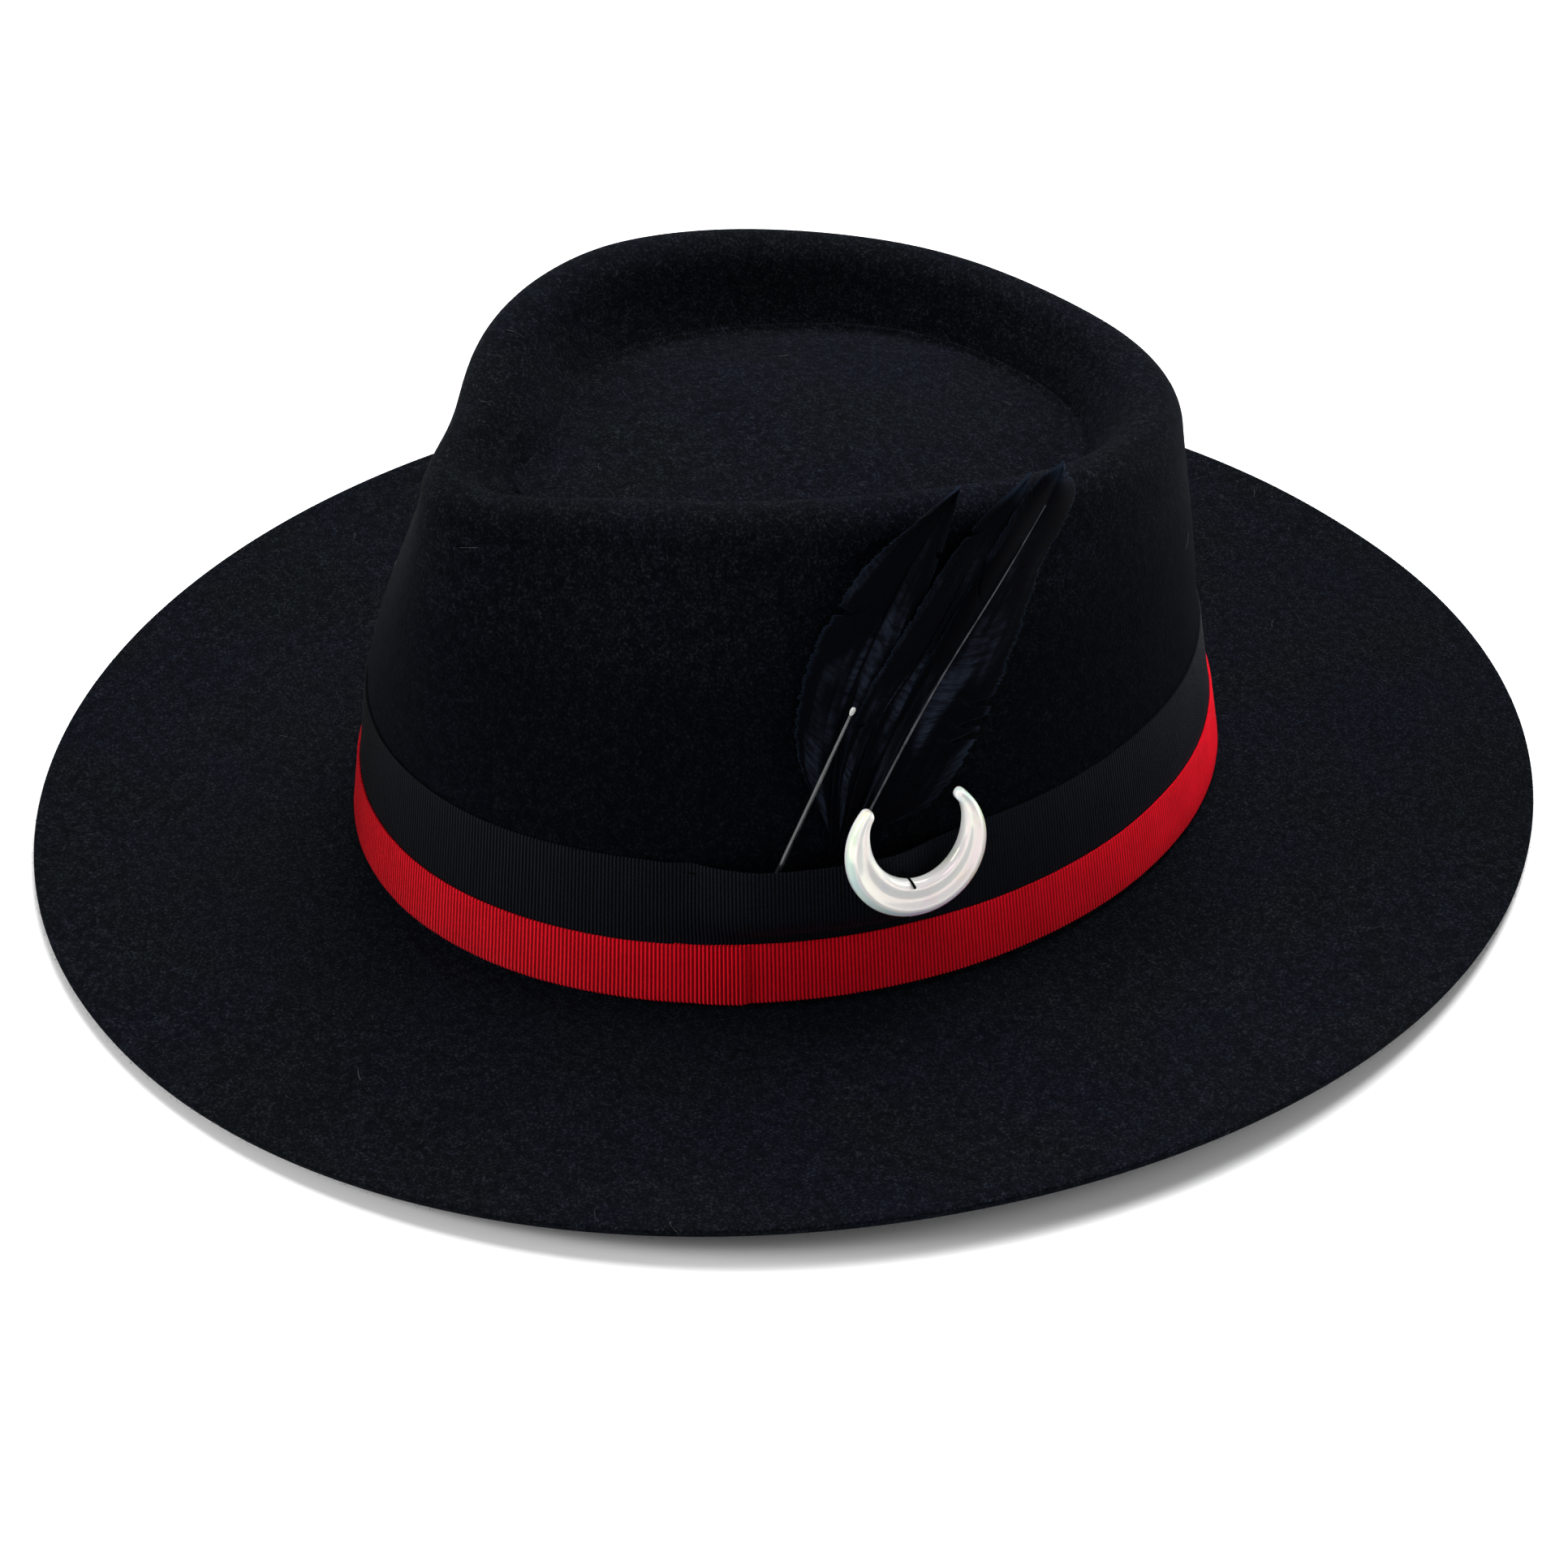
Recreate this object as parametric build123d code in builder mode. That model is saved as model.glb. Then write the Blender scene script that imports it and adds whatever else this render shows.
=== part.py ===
"""Wide-brimmed felt hat with two ribbons, a bunch of feathers, a stripped quill and a moon bead.

Millimetres.  +Z is up, the wearer's face is at -Y and the wearer's left ear at +X.
z = 0 is the flat underside of the brim, and the z axis runs up the middle of the brim's oval.
Angles round the hat are measured at the middle of the head opening, which lies a little behind
the z axis, from the front (-Y) towards the wearer's left (+X).
"""
from build123d import *
from math import atan2, cos, degrees, exp, pi, radians, sin, sqrt
import os

# ---------------------------------------------------------------- driving dimensions
FELT = 2.4                  # thickness of the felt
HEAD_HALF_X = 93.3          # half width and half length of the crown where it meets the brim
HEAD_HALF_Y = 106.2
BREAK_Z = 4.0               # height at which the crown wall leaves the brim
BREAK_RADIUS = BREAK_Z - FELT

BRIM_HALF_X = 174.4         # half width and half length of the brim
BRIM_HALF_Y = 181.8
HEAD_SHIFT_Y = 1.0          # the brim is a little wider in front than behind

RIBBON_LEAN_Z = 18.0        # the wall leans in to this height, and on to the next
WALL_TURN_Z = 42.0          # above it the oval turns into the teardrop
LEAN_LOW = 2.0              # how far the wall has leaned in at those two heights
LEAN_HIGH = 5.4

RIM_ROLL = 8.0              # radius of the rolled rim round the top of the crown
RIM_MEAN_Z = 98.4           # height of the roll's centre line: mean, front-to-back, side-to-side
RIM_FRONT_RISE = 4.6
RIM_SIDE_RISE = 6.0
DROP_SHIFT_Y = -10.9        # centre of the teardrop outline, from that of the head opening

CREASE_INSET = 15.6         # the pressed ring that lies inside the rim
PLATEAU_INSET = 18.1
PLATEAU_Z = 96.5            # height of the middle of the crown's floor

RIBBON = 0.6                # thickness of a grosgrain ribbon
WIDE_RIBBON_FOOT_Z = 4.2
WIDE_RIBBON_TOP_Z = 38.4
NARROW_RIBBON_TOP_Z = 18.4
CLOTH_GAP = 0.04            # between layers that touch

POCKET_ANGLE = 65.2         # where the feathers are tucked behind the wide ribbon
POCKET_HALF_ANGLE = 14.0
POCKET_DEPTH = 4.7          # how far the ribbon stands off the felt there
POCKET_START_Z = 18.8       # height at which it starts to stand off
POCKET_FOOT_Z = 25.4        # height at which it stands off fully
LAP_ANGLE = 50.2            # where the narrow ribbon's end is folded over its beginning
LAP_LENGTH = 14.0

SIDE_ANGLE = 74.2           # the sheet that the feathers follow touches the crown here
SIDE_LEAN = 8.0
SIDE_CLEAR = 2.3            # from the felt to the middle feather
SIDE_RADIUS = 112.0
LAYER = 0.9                 # from one feather to the next
VANE = 0.35                 # thickness of a vane and of a feather's shaft
SHAFT = 0.7
SHAFT_WIDTH = 1.0
STEM_FOOT = -12.5           # end of the bound shafts, below the ribbon's top edge

SWEATBAND = 0.8
SWEATBAND_TOP_Z = 37.0
SWEATBAND_FOOT_Z = 0.3
REED = 1.3

MOON_HALF_THICKNESS = 2.4
MOON_RADIUS = 16.4          # outer circle of the crescent
MOON_HOLE = 1.3
THREAD = 0.7

RING_POINTS = 48
ANGLES = [2 * pi * step / RING_POINTS for step in range(RING_POINTS)]

os.makedirs("parts", exist_ok=True)


def save(builder, name):
    """Labels a finished piece and writes it."""
    builder.part.label = name
    export_step(builder.part, "parts/" + name + ".step")


# ---------------------------------------------------------------- outlines seen from above
def head_radius(angle):
    """Oval of the head opening, on the outside of the felt."""
    return 1 / sqrt((sin(angle) / HEAD_HALF_X) ** 2 + (cos(angle) / HEAD_HALF_Y) ** 2)


def drop_radius(angle):
    """Teardrop of the rim's centre line, with its point at the front."""
    turn = (angle + pi) % (2 * pi) - pi
    waves = 71.5 - 21.4 * cos(turn) + 4.6 * cos(2 * turn) - 0.7 * cos(3 * turn) + 0.5 * cos(5 * turn)
    point = 15.8 * exp(-((turn / 0.35) ** 2))
    return waves + point


def rim_height(angle):
    return RIM_MEAN_Z + RIM_FRONT_RISE * cos(angle) - RIM_SIDE_RISE * cos(2 * angle)


def lean(height):
    """How far the wall has leaned in at a height up to the ribbon's top."""
    if height <= RIBBON_LEAN_Z:
        return LEAN_LOW * max(0.0, height - BREAK_Z) / (RIBBON_LEAN_Z - BREAK_Z)
    rise = (height - RIBBON_LEAN_Z) / (WALL_TURN_Z - RIBBON_LEAN_Z)
    return LEAN_LOW + (LEAN_HIGH - LEAN_LOW) * rise


def at(angle, radius, height, shift_y=0.0):
    return (radius * sin(angle), HEAD_SHIFT_Y + shift_y - radius * cos(angle), height)


# ---------------------------------------------------------------- rings of the felt and the ribbons
def closed_ring(points):
    with BuildLine() as ring:
        Spline(*points, periodic=True)
    return ring.wire()


def lower_ring(height, grow=0.0):
    """Ring on the lower wall, grow outside its outer face."""
    return closed_ring([at(a, head_radius(a) - lean(height) + grow, height) for a in ANGLES])


def wall_ring(share, grow=0.0):
    """Ring on the upper wall: share is 0 above the ribbon and 1 at the side of the rim.

    The pinch in front stays an oval for longer than the sides do.
    """
    points = []
    for a in ANGLES:
        turn = (a + pi) % (2 * pi) - pi
        blend = share ** (1.08 + 0.2 * exp(-((turn / 0.9) ** 2)))
        oval = head_radius(a) - LEAN_HIGH
        drop = drop_radius(a) + RIM_ROLL
        height = WALL_TURN_Z + (rim_height(a) - WALL_TURN_Z) * share
        points.append(at(a, oval + (drop - oval) * blend + grow, height, DROP_SHIFT_Y * blend))
    return closed_ring(points)


def rim_ring(roll_angle, roll):
    """Ring on the rolled rim: 0 degrees is outside, 90 is the crest."""
    out, rise = roll * cos(radians(roll_angle)), roll * sin(radians(roll_angle))
    return closed_ring([at(a, drop_radius(a) + out, rim_height(a) + rise, DROP_SHIFT_Y) for a in ANGLES])


def crease_height(angle):
    return rim_height(angle) - 6.1 + 2.3 * cos(angle) + 3.9 * cos(2 * angle)


def floor_ring(inset, rise):
    """Ring on the slope between the rim and the crown's floor."""
    points = [at(a, drop_radius(a) - inset, crease_height(a) + rise, DROP_SHIFT_Y) for a in ANGLES]
    return closed_ring(points)


def plateau_ring(share, drop=0.0):
    """Ring on the domed floor of the crown, share of the way out from its middle."""
    points = []
    for a in ANGLES:
        edge = crease_height(a) - 1.2
        height = PLATEAU_Z + (edge - PLATEAU_Z) * share ** 2
        points.append(at(a, share * (drop_radius(a) - PLATEAU_INSET), height - drop, DROP_SHIFT_Y))
    return closed_ring(points)


def plateau_middle(drop=0.0):
    """Small flat ring that closes the skin in the middle."""
    points = [at(a, 0.05 * drop_radius(a), PLATEAU_Z - drop, DROP_SHIFT_Y) for a in ANGLES]
    return closed_ring(points)


def brim_ring(share, height, grow=0.0):
    """Ring on the brim, share of the way from the crown to the brim's edge."""
    points = []
    for a in ANGLES:
        edge = 1 / sqrt((sin(a) / BRIM_HALF_X) ** 2 + (cos(a) / BRIM_HALF_Y) ** 2)
        start = head_radius(a) + BREAK_RADIUS
        points.append(at(a, start + (edge - start) * share + grow, height, -HEAD_SHIFT_Y * share))
    return closed_ring(points)


def break_ring(turn, radius):
    """Ring on the small curve where the wall turns out into the brim."""
    out = BREAK_RADIUS - radius * cos(radians(turn))
    drop = radius * sin(radians(turn))
    return closed_ring([at(a, head_radius(a) + out, BREAK_Z - drop) for a in ANGLES])


# ---------------------------------------------------------------- felt body
ROLL_STEPS = (0, 22, 45, 67, 90, 112, 135, 155)
WALL_STEPS = (0.2, 0.4, 0.6, 0.8)
PLATEAU_STEPS = (0.3, 0.6, 0.85, 1.0)
UNDER_GROW = -FELT * 1.03
UNDER_ROLL = RIM_ROLL - FELT

felt_rings = [plateau_middle()]
felt_rings += [plateau_ring(share) for share in PLATEAU_STEPS]
felt_rings += [floor_ring(CREASE_INSET, 0.0), floor_ring(CREASE_INSET - 2.0, -1.6)]
felt_rings += [rim_ring(step, RIM_ROLL) for step in reversed(ROLL_STEPS)]
felt_rings += [wall_ring(share) for share in reversed(WALL_STEPS)]
felt_rings += [lower_ring(WALL_TURN_Z), lower_ring(RIBBON_LEAN_Z)]
felt_rings += [break_ring(turn, BREAK_RADIUS) for turn in (0, 45, 90)]
felt_rings += [brim_ring(0.5, FELT), brim_ring(1.0, FELT, -0.5)]
felt_rings += [brim_ring(1.0, FELT - 0.5), brim_ring(1.0, 0.5), brim_ring(1.0, 0.0, -0.5)]
felt_rings += [brim_ring(0.5, 0.0)]
felt_rings += [break_ring(turn, BREAK_Z) for turn in (90, 60, 30, 0)]
felt_rings += [lower_ring(RIBBON_LEAN_Z, UNDER_GROW), lower_ring(WALL_TURN_Z, UNDER_GROW)]
felt_rings += [wall_ring(share, UNDER_GROW) for share in WALL_STEPS]
felt_rings += [rim_ring(step, UNDER_ROLL) for step in ROLL_STEPS]
felt_rings += [floor_ring(CREASE_INSET - 3.4, -3.6), floor_ring(CREASE_INSET, -FELT)]
felt_rings += [plateau_ring(share, FELT) for share in reversed(PLATEAU_STEPS)]
felt_rings += [plateau_middle(FELT)]

with BuildPart() as felt_body:
    add(Solid.make_loft(felt_rings, ruled=True))
save(felt_body, "felt_body")


# ---------------------------------------------------------------- ribbons
def pocket(angle, height):
    """How far the wide ribbon stands off the felt over the tucked feathers."""
    away = ((degrees(angle) + 180) % 360 - 180 - POCKET_ANGLE) / POCKET_HALF_ANGLE
    climb = (height - POCKET_START_Z) / (POCKET_FOOT_Z - POCKET_START_Z)
    return POCKET_DEPTH * min(1.0, max(0.0, climb)) / (1 + away ** 6)


def ribbon_ring(height, grow):
    points = [at(a, head_radius(a) - lean(height) + pocket(a, height) + grow, height) for a in ANGLES]
    return closed_ring(points)


def cloth_tube(name, heights, grow, thickness, ring=lower_ring):
    """Closed band of cloth through the given heights, grow outside the felt."""
    with BuildPart() as outside:
        add(Solid.make_loft([ring(height, grow + thickness) for height in heights], ruled=True))
    with BuildPart() as band:
        add(outside.part)
        add(Solid.make_loft([ring(height, grow) for height in heights], ruled=True), mode=Mode.SUBTRACT)
    save(band, name)
    return band


WIDE_GROW = CLOTH_GAP
NARROW_GROW = 2 * CLOTH_GAP + RIBBON
wide_heights = (WIDE_RIBBON_FOOT_Z, RIBBON_LEAN_Z, POCKET_START_Z, POCKET_FOOT_Z, WIDE_RIBBON_TOP_Z)
narrow_heights = (WIDE_RIBBON_FOOT_Z, RIBBON_LEAN_Z, NARROW_RIBBON_TOP_Z)
wide_ribbon = cloth_tube("wide_ribbon", wide_heights, WIDE_GROW, RIBBON, ribbon_ring)
narrow_ribbon = cloth_tube("narrow_ribbon", narrow_heights, NARROW_GROW, RIBBON)


def wall_plane(angle_degrees, height, grow):
    """Plane that lies on the lower wall: x along the ribbon, y up, z outwards."""
    angle = radians(angle_degrees)
    radius = head_radius(angle) - lean(height) + grow
    normal = Vector(sin(angle) / HEAD_HALF_X ** 2, -cos(angle) / HEAD_HALF_Y ** 2, 0).normalized()
    along = Vector(-normal.Y, normal.X, 0)
    return Plane(origin=at(angle, radius, height), x_dir=along, z_dir=normal)


# folded end of the narrow ribbon, stuck down over its beginning
lap_height = NARROW_RIBBON_TOP_Z - WIDE_RIBBON_FOOT_Z - 0.4
lap_plane = wall_plane(LAP_ANGLE, (NARROW_RIBBON_TOP_Z + WIDE_RIBBON_FOOT_Z) / 2, 2.5)
with BuildPart() as narrow_ribbon_end:
    with BuildSketch(lap_plane):
        Rectangle(LAP_LENGTH, lap_height)
    extrude(amount=4, both=True)
    outer = [lower_ring(height, NARROW_GROW + 2 * RIBBON + CLOTH_GAP) for height in narrow_heights]
    add(Solid.make_loft(outer, ruled=True), mode=Mode.INTERSECT)
    inner = [lower_ring(height, NARROW_GROW + RIBBON + CLOTH_GAP) for height in narrow_heights]
    add(Solid.make_loft(inner, ruled=True), mode=Mode.SUBTRACT)
save(narrow_ribbon_end, "narrow_ribbon_end")

# tack stitches that hold the wide ribbon to the felt just under its top edge
TACK_ANGLES = (47.3, 140.0, 180.0, 220.0, 310.0)
with BuildPart() as ribbon_tacks:
    for angle in TACK_ANGLES:
        stand_off = pocket(radians(angle), WIDE_RIBBON_TOP_Z)
        tack_plane = wall_plane(angle, WIDE_RIBBON_TOP_Z - 2.1, RIBBON + CLOTH_GAP + stand_off + 0.8)
        with BuildSketch(tack_plane):
            SlotOverall(3.0, 0.5)
        extrude(amount=0.3, both=True)
save(ribbon_tacks, "ribbon_tacks")


# ---------------------------------------------------------------- sheet that the feathers follow
side_angle = radians(SIDE_ANGLE)
side_radius = head_radius(side_angle) - LEAN_HIGH + SIDE_CLEAR
side_level = Vector(sin(side_angle) / HEAD_HALF_X ** 2, -cos(side_angle) / HEAD_HALF_Y ** 2, 0).normalized()
side_out = side_level * cos(radians(SIDE_LEAN)) + Vector(0, 0, sin(radians(SIDE_LEAN)))
side_plane = Plane(
    origin=at(side_angle, side_radius, WALL_TURN_Z),
    x_dir=Vector(-side_level.Y, side_level.X, 0),
    z_dir=side_out,
)
side_up = side_plane.y_dir
curl_axis = Plane(origin=side_plane.origin - side_out * SIDE_RADIUS, x_dir=-side_out, z_dir=side_up)
CURL_LENGTH = 300.0
CURL_REACH = 28.0


def curl(outline, layer, thickness):
    """Cuts an outline from a thin sheet curved round the crown."""
    radius = SIDE_RADIUS + layer * LAYER
    with BuildPart() as piece:
        extrude(outline, amount=CURL_REACH, both=True)
        with Locations(curl_axis):
            Cylinder(radius + thickness / 2, CURL_LENGTH, mode=Mode.INTERSECT)
            Cylinder(radius - thickness / 2, CURL_LENGTH, mode=Mode.SUBTRACT)
    return piece.part


def feather(name, layer, shaft_x, shaft_points, base, left_edge, tip, right_edge):
    """Feather: a vane with a stiff shaft, whose bare foot is tucked behind the ribbon."""
    with BuildSketch(side_plane) as vane:
        with BuildLine():
            Spline(base, *left_edge, tip)
            Spline(tip, *right_edge, base)
        make_face()
    with BuildSketch(side_plane) as shaft:
        with BuildLine() as middle:
            foot = Line((shaft_x, STEM_FOOT), (shaft_x, 0.5))
            Spline(foot @ 1, *shaft_points, tangents=[(0, 1), (0.6, 0.8)])
        trace(middle.line, SHAFT_WIDTH)
    with BuildPart() as piece:
        add(curl(vane.sketch, layer, VANE))
        add(curl(shaft.sketch, layer, SHAFT))
    save(piece, name)
    return piece


REAR_SHAFT_X = -13.3
MIDDLE_SHAFT_X = -11.5
FRONT_SHAFT_X = -9.7

feather_rear = feather(
    "feather_rear",
    layer=-1,
    shaft_x=REAR_SHAFT_X,
    shaft_points=[(-9.0, 28.0), (4.0, 55.0), (17.5, 73.5)],
    base=(-13, 4),
    left_edge=[(-18.8, 23.5), (-15, 43), (-3.5, 61.5), (10, 71)],
    tip=(21, 77),
    right_edge=[(17, 66), (6, 42), (-6, 16)],
)
feather_middle = feather(
    "feather_middle",
    layer=0,
    shaft_x=MIDDLE_SHAFT_X,
    shaft_points=[(-3.0, 24.0), (12.0, 44.0), (26.5, 65.5), (33.0, 72.5)],
    base=(-11, 4),
    left_edge=[(-10, 17), (-4, 33), (8, 50), (22, 66)],
    tip=(38, 75.5),
    right_edge=[(33, 60), (18, 36), (0, 12)],
)
feather_front = feather(
    "feather_front",
    layer=1,
    shaft_x=FRONT_SHAFT_X,
    shaft_points=[(-4.0, 8.5), (11.8, 33.2), (28.6, 53.5), (44.0, 69.5)],
    base=(-8.5, 4),
    left_edge=[(5, 31), (22, 55), (36, 71)],
    tip=(46.5, 75.5),
    right_edge=[(49, 66), (40, 54), (30, 33.5), (20, 17), (8, 5)],
)

# thread wound round the three shafts, behind the ribbon
BINDING_WALL = 0.25
BINDING_LENGTH = 5.0
binding_x = (REAR_SHAFT_X + FRONT_SHAFT_X) / 2
binding_width = FRONT_SHAFT_X - REAR_SHAFT_X + SHAFT_WIDTH + 0.4
binding_depth = 2 * LAYER + SHAFT + 0.5
with BuildPart() as feather_binding:
    binding_plane = Plane(
        origin=side_plane.from_local_coords((binding_x, STEM_FOOT + 2.0, -binding_x ** 2 / SIDE_RADIUS / 2)),
        x_dir=side_plane.x_dir,
        z_dir=side_up,
    )
    with BuildSketch(binding_plane):
        RectangleRounded(binding_width + 2 * BINDING_WALL, binding_depth + 2 * BINDING_WALL, 0.7)
        Rectangle(binding_width, binding_depth, mode=Mode.SUBTRACT)
    extrude(amount=BINDING_LENGTH)
save(feather_binding, "feather_binding")

# ---------------------------------------------------------------- stripped quill
QUILL_FOOT = (-27.0, -9.5, -3.7)
QUILL_TIP = (-8.3, 34.4, 5.5)
QUILL_RADIUS = 0.85
QUILL_TIP_RADIUS = 0.45
quill_foot = Vector(*side_plane.from_local_coords(QUILL_FOOT))
quill_tip = Vector(*side_plane.from_local_coords(QUILL_TIP))
quill_run = quill_tip - quill_foot
with BuildPart() as stripped_quill:
    with BuildSketch(Plane(origin=quill_foot, z_dir=quill_run)):
        Circle(QUILL_RADIUS)
    with BuildSketch(Plane(origin=quill_tip, z_dir=quill_run)):
        Circle(QUILL_TIP_RADIUS)
    loft()
    with Locations(quill_tip):
        Sphere(QUILL_TIP_RADIUS + 0.2)
save(stripped_quill, "stripped_quill")

# ---------------------------------------------------------------- moon bead and its thread
MOON_PIVOT = (2.1, -10.4)            # the drilled hole, on the sheet of the feathers
MOON_BACK = 3.2                      # back of the bead, out from that sheet
MOON_TURN = 4.0                      # the bead lies turned towards the back of the hat by this much
moon_out = side_out * cos(radians(MOON_TURN)) + side_plane.x_dir * sin(radians(MOON_TURN))
moon_plane = Plane(
    origin=side_plane.from_local_coords((*MOON_PIVOT, MOON_BACK + MOON_HALF_THICKNESS)),
    x_dir=side_plane.x_dir * cos(radians(MOON_TURN)) - side_out * sin(radians(MOON_TURN)),
    z_dir=moon_out,
)
MOON_CENTRE = (1.9, 9.4)             # centre of the outer circle, from the hole
MOON_BITE = (2.1, 14.9)              # centre of the oval that makes it a crescent
HORN_END = 21.4
with BuildPart() as moon_bead:
    with BuildSketch(moon_plane) as crescent:
        with Locations(MOON_CENTRE):
            Circle(MOON_RADIUS)
        with Locations(MOON_BITE):
            Ellipse(11.2, 13.2, mode=Mode.SUBTRACT)
        with Locations((MOON_CENTRE[0], HORN_END + 5)):
            Rectangle(4 * MOON_RADIUS, 10, mode=Mode.SUBTRACT)
        fillet(crescent.vertices(), 0.6)
    extrude(amount=MOON_HALF_THICKNESS, both=True)
    front_edges = moon_bead.faces().sort_by(Axis(moon_plane.origin, moon_out))[-1].edges()
    chamfer(front_edges, 0.5)
    with BuildSketch(moon_plane):
        Circle(MOON_HOLE / 2)
    extrude(amount=2 * MOON_HALF_THICKNESS, both=True, mode=Mode.SUBTRACT)
save(moon_bead, "moon_bead")

# one stitch: up through the hole, over the inner edge and back down to the ribbon
STITCH_REACH = 3.4
STITCH_TOP = MOON_HALF_THICKNESS + 0.5
STITCH_FOOT = -MOON_HALF_THICKNESS - 0.45
with BuildPart() as moon_thread:
    with BuildSketch(moon_plane.offset(STITCH_FOOT)):
        with Locations((0, 0), (0, STITCH_REACH)):
            Circle(THREAD / 2)
    extrude(amount=STITCH_TOP - STITCH_FOOT)
    with BuildSketch(moon_plane.offset(STITCH_TOP - THREAD / 2)):
        with Locations((0, STITCH_REACH / 2)):
            SlotCenterToCenter(STITCH_REACH, THREAD, rotation=90)
    extrude(amount=THREAD)
save(moon_thread, "moon_thread")


# ---------------------------------------------------------------- sweatband
BAND_FOOT_GROW = -3.5


def sweatband_ring(height, grow):
    """Ring on the sweatband, which hangs clear of the curve at its foot."""
    inset = BAND_FOOT_GROW if height < BREAK_Z else UNDER_GROW - 0.15
    return lower_ring(height, inset + grow)


sweatband_heights = (SWEATBAND_FOOT_Z, BREAK_Z - 0.5, RIBBON_LEAN_Z, SWEATBAND_TOP_Z)
sweatband = cloth_tube("sweatband", sweatband_heights, -SWEATBAND, SWEATBAND, sweatband_ring)


def head_oval(grow):
    Spline(*[at(a, head_radius(a) + grow, 0)[:2] for a in ANGLES], periodic=True)


# reed: the round cord of plastic sewn along the sweatband's foot, in a tape
with BuildPart() as sweatband_reed:
    with BuildSketch(Plane.XY.offset(SWEATBAND_FOOT_Z + 0.05)):
        with BuildLine():
            head_oval(BAND_FOOT_GROW + 0.1 + REED)
        make_face()
        with BuildLine():
            head_oval(BAND_FOOT_GROW + 0.1)
        make_face(mode=Mode.SUBTRACT)
    extrude(amount=REED)
save(sweatband_reed, "sweatband_reed")

STITCH_COUNT = 96
with BuildPart() as sweatband_stitches:
    for step in range(STITCH_COUNT):
        stitch_plane = wall_plane(360 * step / STITCH_COUNT, 2.6, BAND_FOOT_GROW - SWEATBAND - 0.17)
        with BuildSketch(stitch_plane):
            Rectangle(3.2, 0.45)
        extrude(amount=0.14, both=True)
save(sweatband_stitches, "sweatband_stitches")

# flat bow that covers the join of the sweatband at the back of the head
BOW_Z = 30.0
bow_grow = UNDER_GROW - 0.15 - SWEATBAND - 1.4
bow_plane = wall_plane(180, BOW_Z, bow_grow)
with BuildPart() as sweatband_bow:
    with BuildSketch(bow_plane):
        Polygon((0, 0), (-9, 4), (-9, -4), align=None)
        Polygon((0, 0), (9, -4), (9, 4), align=None)
        Rectangle(3.4, 4.2)
    extrude(amount=0.3, both=True)
save(sweatband_bow, "sweatband_bow")
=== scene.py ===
"""Looks of a wide-brimmed felt hat with two ribbons, a bunch of feathers, a quill and a moon bead.

Metres.  +Z is up, the wearer's face is at -Y and the wearer's left at +X.  Angles round the hat are
measured at the middle of the head opening, from the front towards the wearer's left.
"""

import bpy
import random
from math import atan2, cos, exp, hypot, pi, radians, sin, sqrt, tau
from mathutils import Matrix, Vector, noise


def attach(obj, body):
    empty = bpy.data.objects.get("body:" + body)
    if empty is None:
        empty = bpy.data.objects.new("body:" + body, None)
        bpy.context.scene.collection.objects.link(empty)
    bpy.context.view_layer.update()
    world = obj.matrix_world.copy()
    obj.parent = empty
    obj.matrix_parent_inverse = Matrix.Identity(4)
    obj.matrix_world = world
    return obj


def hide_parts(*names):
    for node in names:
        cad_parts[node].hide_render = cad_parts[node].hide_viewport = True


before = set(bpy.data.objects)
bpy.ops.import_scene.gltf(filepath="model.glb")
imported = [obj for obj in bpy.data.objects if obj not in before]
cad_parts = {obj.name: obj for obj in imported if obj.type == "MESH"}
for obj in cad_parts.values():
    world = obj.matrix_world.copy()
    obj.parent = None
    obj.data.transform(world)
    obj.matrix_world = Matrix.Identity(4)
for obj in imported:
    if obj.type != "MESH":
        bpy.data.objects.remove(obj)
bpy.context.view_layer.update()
MM = 0.001

# ---------------------------------------------------------------- sizes shared with the CAD model
FELT = 2.4 * MM
HEAD_HALF_X = 93.3 * MM
HEAD_HALF_Y = 106.2 * MM
HEAD_SHIFT_Y = 1.0 * MM
BREAK_Z = 4 * MM
BREAK_RADIUS = BREAK_Z - FELT
BRIM_HALF_X = 174.4 * MM
BRIM_HALF_Y = 181.8 * MM
LEAN_Z = 18 * MM
WALL_TURN_Z = 42 * MM
LEAN_LOW = 2.0 * MM
LEAN_HIGH = 5.4 * MM
RIM_ROLL = 8 * MM
DROP_SHIFT_Y = -10.9 * MM
PLATEAU_INSET = 18.1 * MM
PLATEAU_Z = 96.5 * MM
WIDE_TOP_Z = 38.4 * MM
POCKET_ANGLE = 65.2
POCKET_HALF_ANGLE = 14
POCKET_DEPTH = 4.7 * MM
POCKET_START_Z = 18.8 * MM
POCKET_FOOT_Z = 25.4 * MM
LAP_ANGLE = 54.3
LAP_LENGTH = 14 * MM
PUCKER_ANGLE = 47.3
SIDE_ANGLE = 74.2
SIDE_LEAN = 8
SIDE_RADIUS = 112 * MM


def head_radius(angle):
    return 1 / sqrt((sin(angle) / HEAD_HALF_X) ** 2 + (cos(angle) / HEAD_HALF_Y) ** 2)


def half_turn(angle):
    """The same angle between minus half a turn and half a turn."""
    return (angle + pi) % tau - pi


def drop_radius(angle):
    """Teardrop of the rim's centre line, with its point at the front."""
    turn = half_turn(angle)
    waves = 71.5 - 21.4 * cos(turn) + 4.6 * cos(2 * turn) - 0.7 * cos(3 * turn) + 0.5 * cos(5 * turn)
    return (waves + 15.8 * exp(-((turn / 0.35) ** 2))) * MM


def rim_height(angle):
    return (98.4 + 4.6 * cos(angle) - 6.0 * cos(2 * angle)) * MM


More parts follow.
